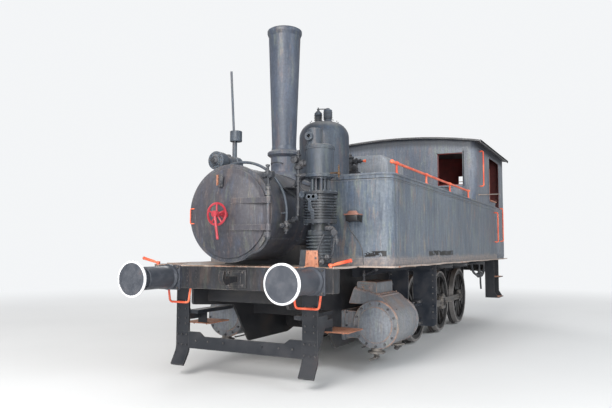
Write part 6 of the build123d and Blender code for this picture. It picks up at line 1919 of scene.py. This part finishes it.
@dataclass
class CabTrim(Assembly):
    """Frames, strips, rivets and roof work of the cab."""

    jobs = ("windows", "side_work", "corner_strips", "front_rivets", "roof", "doors")
    front: float = 5480.0
    rear: float = 8050.0
    half: float = 1440.0
    window: tuple[float, float, float, float] = (800.0, 1236.0, 2440.0, 2990.0)
    rear_window: tuple[float, float, float, float] = (560.0, 996.0, 2340.0, 2890.0)
    opening: tuple[float, float, float, float] = (6640.0, 7632.0, 2240.0, 3040.0)
    roof_radius: float = 8650.0
    roof_apex: float = 3300.0
    roof_half: float = 1549.0
    end_width: float = 12.0
    rib_width: float = 34.0

    def frame_strip(self, piece: Piece, corners: list[Vector], out: Vector, width: float,
            thick: float) -> None:
        """Lays flat strips round an opening.

        Args:
            piece: piece to add to.
            corners: corners of the opening, in order.
            out: direction that the strips face.
            width: width of the strips, in mm.
            thick: thickness of the strips, in mm.
        """
        count = len(corners)
        middle = sum(corners, Vector()) / count
        for index in range(count):
            start, end = corners[index], corners[(index + 1) % count]
            along = (end - start).normalized()
            away = along.cross(out)
            if away.dot((start + end) / 2 - middle) < 0:
                away = -away
            wide, longer = away * (width / 1000), along * (width / 1000)
            ring = [start - longer, end + longer, end + longer + wide, start - longer + wide]
            piece.prism([point - out * 0.002 for point in ring], out * ((thick + 2) / 1000), 1.5)

    def windows(self) -> None:
        """Strips round the windows, front and rear."""
        strips = Piece("cab_window_frames", "cab")
        for side in (1, -1):
            for station, window, out, width, thick in (
                (self.front, self.window, AHEAD, 16, 4), (self.rear, self.rear_window, -AHEAD, 30, 5),
            ):
                y0, y1, z0, z1 = window
                corners = [spot(station, side * y, z) for y,
                    z in ((y0, z0), (y1, z0), (y1, z1), (y0, z1))]
                self.frame_strip(strips, corners, out, width, thick)
        strips.place()
        liners = Piece("cab_window_liners", "room_red")
        for side in (1, -1):
            y0, y1, z0, z1 = self.window
            for a, b, c, d in ((y0, y0 + 14, z0, z1), (y1 - 14, y1, z0, z1), (y0, y1, z0, z0 + 14),
                    (y0, y1, z1 - 14, z1)):
                liners.block((self.front + 12, self.front + 46), (side * a, side * b), (c, d), 1.5)
        liners.place()
        bars = Piece("rear_window_bars", "rail_red")
        for side in (1, -1):
            y0, y1, z0, z1 = self.rear_window
            for index in range(1, 5):
                height = z0 + (z1 - z0) * index / 5
                bars.tube(path((self.rear + 9, side * (y0 - 14), height),
                    (self.rear + 9, side * (y1 + 14), height)), 7, 8)
            for y in (y0 - 14, y1 + 14):
                bars.block((self.rear - 1, self.rear + 14), (side * (y - 11), side * (y + 11)),
                    (z0 + 60, z1 - 60), 2)
        bars.place()

    def side_work(self) -> None:
        """Beading of the side openings, arm rests, corner angles and rivets."""
        beading = Piece("cab_side_beading", "cab")
        s0, s1, z0, z1 = self.opening
        for side in (1, -1):
            y = side * self.half
            out = LEFT * side
            for a, b, c, d in ((s0 - 34, s0, z0 - 34, z1 + 34), (s1, s1 + 34, 1240, z1 + 34),
                    (s0, s1, z1, z1 + 34), (s0, 7212, z0 - 34, z0)):
                beading.block((a, b), (y - side * 2, y + side * 7), (c, d), 2.5)
            for station in range(5700, 6580, 70):
                beading.rivet(spot(station, y, 3090), out, 6)
            for height in range(2240, 3100, 60):
                for station in (5630, s0 - 70, self.rear - 34):
                    beading.rivet(spot(station, y, height), out, 6)
            for height in range(1290, 2240, 60):
                beading.rivet(spot(self.rear - 34, y, height), out, 6)
            beading.block((self.rear - 62, self.rear + 4), (y - side * 2, y + side * 6),
                (1218, 3150), 2)
            beading.block((self.rear - 2, self.rear + 6), (y - side * 60, y + side * 5),
                (1218, 3150), 2)
        beading.place()
        rests = Piece("cab_arm_rests", "orange_iron")
        for side in (1, -1):
            y = side * self.half
            rests.block((s0 + 4, 7206), (y - side * 24, y + side * 30), (z0 + 1, z0 + 26), 6)
            rests.block((s0 - 16, s0 - 2), (y - side * 4, y + side * 12), (z0 + 30, 2830), 3)
        rests.place()

    def corner_strips(self) -> None:
        """Pale strips down the round front corners and thin bars along the sides."""
        strips = Piece("cab_corner_strips", "cab_strip")
        bars = Piece("cab_side_bars", "plate_edge")
        for side in (1, -1):
            strips.block((self.front - 4, self.front + 2), (side * 1226, side * 1322),
                (2170, 3080), 1.5)
            for height in range(2190, 3080, 52):
                for across in (1244, 1304):
                    strips.rivet(spot(self.front - 4, side * across, height), AHEAD, 5)
            bars.tube(path((5640, side * (self.half + 24), 2276),
                (7600, side * (self.half + 24), 2449)), 8, 8)
            for station, height in ((5660, 2277), (7590, 2448)):
                bars.turned(spot(station, side * (self.half - 2), height), LEFT * side,
                    [(0, 0), (14, 0), (14, 4), (6, 8), (6, 26), (0, 26)], 10)
        strips.place()
        bars.place()

    def front_rivets(self) -> None:
        """Rivets and angle strip on the front and rear sheets."""
        heads = Piece("cab_sheet_rivets", "cab")
        for y in range(-1300, 1301, 82):
            lift = sqrt(self.roof_radius**2 - y**2) - self.roof_radius
            heads.rivet(spot(self.front, y, self.roof_apex - 62 + lift), AHEAD, 6)
            heads.rivet(spot(self.rear, y, self.roof_apex - 62 + lift), -AHEAD, 6)
            heads.rivet(spot(self.rear, y, 1260), -AHEAD, 6)
        heads.block((self.rear - 2, self.rear + 7), (-40, 40), (1230, 3230), 2)
        for height in range(1290, 3200, 64):
            for y in (-24, 24):
                heads.rivet(spot(self.rear + 7, y, height), -AHEAD, 5)
        heads.block((self.rear - 2, self.rear + 8), (-1380, 1380), (2196, 2226), 2)
        heads.place()
        irons = Piece("rear_lamp_irons", "rail_red")
        for y, height in ((-1040, 1500), (1040, 1500), (0, 2900)):
            for near, far, top in ((-1, 8, 50), (8, 40, -52), (34, 42, 56)):
                stations = (self.rear + near, self.rear + far)
                irons.block(stations, (y - 26, y + 26), (height - 60, height + top), 2)
        irons.place()

    def arc(self, station: float, y: float, lift: float) -> Vector:
        """Point on the roof's arc."""
        return spot(station, y, self.roof_apex + lift + sqrt(self.roof_radius**2 - y**2)
            - self.roof_radius)

    def roof(self) -> None:
        """Edge strips, ribs and rain strips of the roof."""
        edge = Piece("roof_edges", "roof")
        for station in (5398, 8128, 6200, 7100):
            steps = 40
            ends = station in (5398, 8128)
            wide, base = (self.end_width, -20) if ends else (self.rib_width, -2)
            rings = []
            for index in range(steps + 1):
                y = self.roof_half * (2 * index / steps - 1)
                corners = ((station, base), (station + wide, base), (station + wide, 7), (station, 7))
                rings.append([self.arc(along, y, lift) for along, lift in corners])
            edge.skin(rings)
            if not ends:
                for index in range(1, 38):
                    place = self.arc(station + wide / 2, -1480 + 2960 * index / 38, 6)
                    edge.rivet(place, UP, 6)
        for side in (1, -1):
            edge.block((5396, 8142), (side * 1536, side * 1550), (3136, 3172), 3)
            line = [self.arc(6460, side * 1330, 8), self.arc(6560, side * 1440, 12),
                self.arc(7700, side * 1440, 12), self.arc(7800, side * 1330, 8)]
            edge.tube(eased(line, 90), 8, 8)
        edge.place()

    def doors(self) -> None:
        """Beading and rivets of the low cab doors."""
        for side, label in SIDES:
            trim = Piece(label + "_door_trim", "cab", label + "_cab_door")
            y = side * self.half
            for a, b, c, d in ((7224, 7252, 1246, 2160), (7592, 7620, 1246, 2160),
                    (7224, 7620, 2134, 2162), (7224, 7620, 1246, 1274)):
                trim.block((a, b), (y - side, y + side * 5), (c, d), 2)
            for height in range(1290, 2140, 58):
                for station in (7238, 7606):
                    trim.rivet(spot(station, y + side * 5, height), LEFT * side, 4.5)
            trim.place()


@dataclass
class BoilerTop(Assembly):
    """Turret, valves and fittings along the top of the boiler."""

    jobs = ("turret", "valves", "sand_lid", "whistle", "bands")
    boiler_radius: float = 470.0
    turret_station: float = 3600.0
    dome_station: float = 2680.0
    sandbox: tuple[float, float, float] = (3900.0, 780.0, 2790.0)
    first_band: float = 2108.0
    band_step: float = 626.0

    def turret(self) -> None:
        """Turret with its flanged valve, spindle and red wheel."""
        turret = Piece("boiler_turret", "turret")
        s = self.turret_station
        turret.turned(spot(s, 0, 2180), UP,
            [(0, 0), (90, 0), (90, 20), (56, 30), (56, 250), (80, 260), (80, 292), (0, 292)], 24)
        turret.block((s - 110, s + 110), (-110, 130), (2472, 2506), 5)
        turret.tube(path((s - 70, 100, 2474), (s - 70, 100, 2190)), 16, 10)
        turret.turned(spot(s, -105, 2660), LEFT,
            [(0, 0), (74, 0), (86, 8), (86, 26), (70, 34), (70, 60), (118, 66), (118, 88), (70, 96),
            (52, 128), (36, 138), (36, 176), (52, 182), (52, 204), (26, 210), (26, 246), (34, 250),
            (34, 266), (14, 272), (14, 320), (0, 322)], 26)
        turret.turned(spot(s, -25, 2500), UP,
            [(0, 0), (74, 0), (74, 24), (56, 36), (56, 200), (70, 208), (70, 232), (40, 244), (40, 270),
            (22, 282), (0, 286)], 22)
        turret.circle(spot(s, -17, 2660), LEFT, 98, 8, 10)
        turret.turned(spot(s - 60, 95, 2550), AHEAD,
            [(0, -40), (30, -40), (30, 20), (44, 24), (44, 44), (18, 50), (0, 54)], 16)
        turret.turned(spot(s - 30, 90, 2506), UP,
            [(0, 0), (34, 0), (34, 26), (22, 34), (22, 70), (30, 74), (30, 92), (0, 96)], 14)
        for side in (1, -1):
            turret.pipe(((s, side * 80, 2470), (s + 30, side * 200, 2460), (s + 200, side * 300, 2330),
                (s + 420, side * 440, 2110), (4720, side * 536, 1990), (5470, side * 560, 2000)),
                15, 90, 12)
        turret.place()
        tip = Piece("turret_red_tip", "rail_red")
        tip.turned(spot(s, 197, 2660), LEFT,
            [(0, 0), (15, 0), (17, 6), (17, 22), (24, 26), (24, 36), (15, 42), (0, 44)], 16)
        tip.place()

    def valves(self) -> None:
        """Springs, lever and nuts of the safety valves on the dome."""
        valves = Piece("safety_valve_trim", "pipe")
        x = self.dome_station
        for y, low, count, radius in ((-90, 3120, 4, 46), (56, 3124, 5, 52)):
            for index in range(count):
                valves.ring(spot(x, y, low + index * 22), UP, radius + 6, 5, 28, 8)
        valves.circle(spot(x, 0, 3078), UP, 190, 14, 8)
        valves.tube(path((x, -90, 3276), (x, 60, 3262)), 7, 8)
        valves.turned(spot(x, -90, 3262), UP,
            [(0, 0), (18, 0), (18, 14), (8, 22), (8, 34), (0, 38)], 12)
        valves.place()
        belt = Piece("dome_foot_rivets", "dome")
        for index in range(34):
            turn = tau * index / 34
            radius = 376
            y = radius * sin(turn)
            place = spot(x + radius * cos(turn), y,
                BOILER_HEIGHT + sqrt((self.boiler_radius + 16) ** 2 - y**2) + 2)
            belt.rivet(place, Vector((0, y / 1000, 0.48)).normalized(), 9)
        belt.place()

    def sand_lid(self) -> None:
        """Lid, hinge and pipes of the sandbox."""
        lid = Piece("sandbox_lid", "sand")
        start, length, top = self.sandbox
        middle = start + length / 2
        lid.turned(spot(middle, 0, top - 4), UP,
            [(0, 0), (170, 0), (176, 8), (176, 20), (166, 26), (120, 32), (0, 36)], 36)
        lid.pipe(((middle - 50, 0, top + 26), (middle - 50, 0, top + 54), (middle + 50, 0, top + 54),
            (middle + 50, 0, top + 26)), 8, 14, 10)
        lid.block((middle + 150, middle + 210), (-50, 50), (top - 2, top + 26), 5)
        for side in (1, -1):
            for station in range(int(start) + 40, int(start + length) - 20, 74):
                for height in (2250, 2600):
                    lid.rivet(spot(station, side * 466, height), LEFT * side, 6)
            for height in range(2280, 2600, 64):
                lid.rivet(spot(start, side * 430, height), AHEAD, 6)
        for y in range(-400, 401, 80):
            for height in (2230, 2620):
                lid.rivet(spot(start, y, height), AHEAD, 6)
        lid.place()
        gear = Piece("sand_gear", "pipe")
        gear.tube(path((start - 40, 300, 2470), (5476, 300, 2430)), 9, 10)
        gear.turned(spot(start + 30, 300, 2468), AHEAD,
            [(0, -10), (22, -10), (22, 34), (14, 40), (14, 70), (0, 72)], 14)
        for side in (1, -1):
            gear.pipe(((start + 120, side * 462, 2330), (start + 120, side * 510, 2320),
                (start + 120, side * 536, 2240), (start + 90, side * 548, 1900),
                (start + 60, side * 552, 1260)), 20, 50, 12)
            gear.turned(spot(start + 120, side * 470, 2330), LEFT * side,
                [(0, -8), (34, -8), (34, 8), (24, 12), (24, 30), (0, 30)], 16)
        gear.place()

    def whistle(self) -> None:
        """Whistle and feed valves on the firebox and boiler."""
        whistle = Piece("whistle", "brass")
        s = 5220
        whistle.turned(spot(s, 180, 2200), UP,
            [(0, 0), (30, 0), (30, 16), (16, 22), (16, 90), (30, 96), (30, 108), (14, 114), (14, 124),
            (30, 128), (30, 250), (22, 262), (8, 266), (8, 280), (0, 284)], 20)
        whistle.place()
        checks = Piece("feed_valves", "pipe")
        for side in (1, -1):
            out = Vector((0, side * 0.8, 0.6))
            base = spot(2260, side * 372, BOILER_HEIGHT + 282)
            checks.turned(base, out, [(0, -10), (58, -10), (58, 10), (36, 18), (36, 70), (50, 76),
                (50, 96), (26, 104), (26, 140), (0, 144)], 20)
            checks.circle(base + out * 0.01, out, 46, 6, 7)
            start = base + out * 0.06
            line = [start, start + Vector((-0.08, side * 0.06, 0.01)),
                start + Vector((-0.3, side * 0.1, -0.12)), spot(2900, side * 540, 1700),
                spot(5440, side * 556, 1640)]
            checks.tube(eased(line, 80), 22, 12)
        checks.place()

    def bands(self) -> None:
        """Clamps of the cladding bands and rivets of the firebox."""
        clamps = Piece("cladding_clamps", "boiler")
        for index in range(5):
            station = self.first_band + index * self.band_step
            for turn in (56, 124):
                out = radial(turn)
                clamps.bolt(spot(station, 0, BOILER_HEIGHT) + out * 0.475, out, 11)
        for index in range(22):
            out = radial(20 + index * 140 / 21)
            for station in (4740, 5440):
                clamps.rivet(spot(station, 0, BOILER_HEIGHT) + out * 0.52, out, 9)
        clamps.place()


@dataclass
class RunningGearTrim(Assembly):
    """Cover bolts, lugs, oil cups and nuts of the running gear."""

    jobs = ("covers", "chests", "motion", "rods", "springs", "wheel_trim")
    cylinder: tuple[float, float, float] = (1900.0, 2650.0, 1030.0)
    cover: float = 20.0
    motion_plate: float = 3560.0
    bar_gap: float = 125.0
    throw: float = 250.0
    spring_reach: float = 418.0
    chest_fall: float = 0.243

    def covers(self) -> None:
        """Nuts round the cylinder covers and on the casting beside them."""
        nuts = Piece("cylinder_cover_bolts", "pipe")
        plates = Piece("cylinder_cover_plates", "cover")
        front, rear, middle = self.cylinder
        for side in (1, -1):
            face = spot(front - self.cover, side * middle, AXLE_HEIGHT)
            plates.turned(face, AHEAD, [(196, -2), (196, 9), (188, 12), (0, 13)], 56)
            for end, out in ((front, AHEAD), (rear, -AHEAD)):
                back = 1 if end == front else -1
                nuts.circle(spot(end - back * self.cover, side * middle, AXLE_HEIGHT), out, 240, 13,
                    15, 8)
                for y, z in ((656, 620), (654, 470), (656, 380)):
                    nuts.bolt(spot(end + back * 40, side * y, z), out, 13)
            for station in range(int(front) + 110, int(rear) - 60, 106):
                for z in (342, 606):
                    nuts.bolt(spot(station, side * 636, z), LEFT * side, 12)
            for angle in (40, 62, 84):
                out = radial(angle)
                out.y *= side
                nuts.bolt(spot(front + 130, side * middle, AXLE_HEIGHT) + out * 0.263, out, 10)
        nuts.place()
        plates.place()
        drains = Piece("cylinder_drains", "rod")
        for side in (1, -1):
            for station in (front + 20, rear - 30):
                base = spot(station, side * middle, 236)
                drains.turned(base, -UP, [(0, -4), (62, -4), (62, 26), (100, 32), (100, 50), (56, 56),
                    (34, 66), (26, 84), (34, 90), (34, 104), (22, 110), (22, 118), (0, 122)], 24)
                drains.circle(base + UP * -0.05, -UP, 80, 6, 8)
                drains.tube(eased([base + Vector((0, 0, -0.098)), base + Vector((0.05, 0, -0.1)),
                    base + Vector((0.2 if station < rear - 40 else -0.16, 0, -0.1))], 30), 12, 10)
            drains.pipe(((front - 30, side * (middle - 160), 250),
                (front - 30, side * (middle - 160), 236), (rear + 60, side * (middle - 160), 236)),
                9, 10, 8)
        drains.place()

    def chests(self) -> None:
        """Nuts, cocks and spindles of the steam chests."""
        chest = Piece("steam_chest_bolts", "cylinder")
        ball = Piece("steam_chest_cocks", "pipe")
        for side in (1, -1):
            out = Vector((0, side * 0.235, 0.972))
            places = [(station, y) for station in range(1970, 2560, 72) for y in (756, 1052)]
            for station, y in places + [(1962, y) for y in (800, 860, 920, 980, 1030)]:
                chest.bolt(spot(station, side * y, 913 - self.chest_fall * (y - 740)), out, 10)
            chest.block((1972, 1986), (side * 820, side * 960), (886, 950), 4)
            for y in (850, 930):
                chest.bolt(spot(1972, side * y, 918), AHEAD, 11)
            ball.turned(spot(1996, side * 850, 984), UP,
                [(0, 0), (26, 0), (26, 10), (14, 14), (14, 62), (22, 68), (22, 90), (14, 96), (14, 120),
                (0, 124)], 14)
            ball.pipe(((1996, side * 850, 1062), (1988, side * 900, 1072), (1976, side * 990, 1118)),
                9, 20, 10)
            ball.turned(spot(1975, side * 990, 1118), Vector((0, side, 0.4)),
                [(0, -4), (14, -2), (22, 8), (24, 20), (20, 32), (10, 40), (0, 42)], 16)
            ball.turned(spot(2630, side * 870, 905), -AHEAD,
                [(0, -40), (26, -40), (26, 0), (14, 6), (14, 300), (0, 302)], 14)
        chest.place()
        ball.place()

    def motion(self) -> None:
        """Bolts of the slide bars and motion plates."""
        nuts = Piece("motion_bolts", "slide")
        for side in (1, -1):
            for level in (-1, 1):
                height = AXLE_HEIGHT + level * self.bar_gap
                for station in (2720, 2760, 3500, 3535):
                    for y in (1010, 1050):
                        nuts.bolt(spot(station, side * y, height), UP * level, 9)
            for height in range(420, 1120, 84):
                for y in (632, 1230):
                    nuts.bolt(spot(self.motion_plate - 1, side * y, height), AHEAD, 10)
            for height in (628, 338):
                nuts.block((3440, self.motion_plate), (side * 978, side * 1082),
                    (height, height + 34), 4)
            for station in (3000, 3300):
                nuts.turned(spot(station, side * 1030, 625), UP,
                    [(0, 0), (20, 0), (20, 24), (12, 30), (0, 32)], 14)
        nuts.place()

    def rods(self) -> None:
        """Oil cups and pins on the rods, and nuts on the crank pins."""
        for side, label in SIDES:
            turn = radians(CRANKS[side])
            shift_x, height = self.throw * cos(turn), AXLE_HEIGHT + self.throw * sin(turn)
            cups = Piece(label + "_coupling_cups", "rod", label + "_coupling_rod")
            for station in AXLES.values():
                eye = spot(station - shift_x, side * 857, height)
                top = eye + UP * 0.07
                cups.turned(top, UP, [(0, -4), (18, -4), (18, 10), (24, 14), (24, 34), (16, 40),
                    (8, 42), (8, 50), (0, 52)], 14)
                for along in (-36, 36):
                    cups.turned(eye + Vector((along / 1000, side * 0.0225, -0.05)), LEFT * side,
                        [(0, -2), (9, -2), (9, 5), (6, 8), (0, 8)], 10)
            cups.place()
            keys = Piece(label + "_connecting_cups", "rod", label + "_connecting_rod")
            middle = AXLES["driving"] - shift_x
            eye = spot(middle, side * 924, height)
            keys.turned(eye + UP * 0.094, UP,
                [(0, -4), (18, -4), (18, 10), (26, 14), (26, 36), (16, 42), (0, 44)], 14)
            keys.block((middle - 104, middle - 88), (side * 890, side * 958),
                (height - 60, height + 60), 3)
            keys.place()
            for name, station in AXLES.items():
                face = 958 if name == "driving" else 884
                nut = Piece(f"{label}_{name}_pin_nut", "rod", name + "_wheelset")
                place = spot(station - shift_x, side * face, height)
                nut.bolt(place, LEFT * side, 30)
                nut.circle(place, LEFT * side, 44, 4, 4)
                nut.place()

    def springs(self) -> None:
        """Nuts and clips of the leaf springs."""
        clips = Piece("spring_clips", "spring")
        for side in (1, -1):
            for station in AXLES.values():
                for x in (station - self.spring_reach, station + self.spring_reach):
                    clips.block((x - 26, x + 26), (side * 596, side * 652), (768, 784), 3)
                    clips.bolt(spot(x, side * 624, 768), -UP, 13)
                clips.block((station - 44, station + 44), (side * 594, side * 654), (744, 812), 4)
                for along in (-22, 22):
                    clips.bolt(spot(station + along, side * 654, 778), LEFT * side, 9)
                clips.circle(spot(station, side * 640, AXLE_HEIGHT), LEFT * side, 104, 8, 9, 22)
        clips.place()

    def wheel_trim(self) -> None:
        """Hub nuts and balance weight rivets of the wheels."""
        for name, station in AXLES.items():
            for side, label in SIDES:
                rivets = Piece(f"{name}_wheel_rivets_{label}", "frame", name + "_wheelset")
                spread = 44 if name == "driving" else 26
                for index in range(5):
                    turn = radians(CRANKS[side] + 180 - spread + index * spread / 2)
                    place = spot(station - 372 * cos(turn), side * 794, AXLE_HEIGHT + 372 * sin(turn))
                    rivets.rivet(place, LEFT * side, 13)
                rivets.turned(spot(station, side * 831, AXLE_HEIGHT), LEFT * side,
                    [(0, -2), (44, -2), (44, 3), (16, 5), (12, 0), (0, 0)], 24)
                rivets.place()


@dataclass
class UnderPlatePipes(Assembly):
    """Injectors, pipes and brackets below the running plate."""

    injector_side: float = 1240.0
    rigging_side: float = 470.0
    rigging_height: float = 330.0

    def build(self) -> None:
        """Builds the pipes."""
        pipes = Piece("injector_pipes", "pipe")
        for side in (1, -1):
            y = side * self.injector_side
            body = spot(6500, y, 900)
            pipes.turned(body, -AHEAD, [(0, -10), (30, -10), (30, 20), (44, 26), (44, 60), (32, 70),
                (32, 200), (46, 208), (46, 240), (28, 250), (28, 330), (0, 332)], 20)
            pipes.turned(spot(6600, y, 850), UP,
                [(0, 0), (34, 0), (34, 30), (24, 36), (24, 110), (36, 116), (36, 134), (0, 136)], 16)
            pipes.pipe(((6600, y, 960), (6600, y, 1160)), 20, 10, 12)
            pipes.pipe(((6500, y, 900), (6380, y, 900), (6260, y - side * 40, 960),
                (6200, y - side * 60, 1160)), 20, 90, 12)
            pipes.pipe(((6830, y, 900), (6960, y, 900), (7020, y, 980), (7020, y, 1160)), 18, 60, 12)
            pipes.pipe(((6700, y, 880), (6700, y, 760), (6740, y, 640)), 16, 30, 12)
            for station in (3900, 4825, 6175):
                pipes.block((station - 12, station + 12), (side * 604, side * 1420), (1098, 1154), 2)
                outline = path((station - 6, side * 604, 1098), (station - 6, side * 604, 930),
                    (station - 6, side * 1180, 1098))
                pipes.prism(outline, AHEAD * -0.012, 1.5)
            pipes.pipe(((640, side * 430, 1010), (900, side * 470, 1000), (3200, side * 500, 1040),
                (7900, side * 480, 1040), (8160, side * 430, 1010)), 18, 150, 10)
        pipes.place()
        reach = Piece("brake_rigging", "guard")
        for side in (1, -1):
            y, z = side * self.rigging_side, self.rigging_height
            reach.tube(path((4620, y, z), (7300, y, z)), 13, 8)
            for station in (4660, 6010, 7360):
                reach.turned(spot(station, y, z), LEFT * side,
                    [(0, -20), (26, -18), (26, 18), (0, 20)], 14)
        reach.place()


def main() -> None:
    """Builds the studio, the finishes and every piece, in order."""
    logging.basicConfig(level=logging.INFO, format="%(name)s: %(message)s")
    Studio().build()
    SHOP.coat_nodes()
    assemblies = (
        BeamEnds(), GuardTrim(), SmokeboxFront(), ChimneyTrim(), GeneratorTrim(), CompressorTrim(),
        TankTrim(), CabTrim(), BoilerTop(), RunningGearTrim(), UnderPlatePipes(),
    )
    for assembly in assemblies:
        assembly.build()
        log.info("%s is built", type(assembly).__name__)


if __name__ == "__main__":
    main()
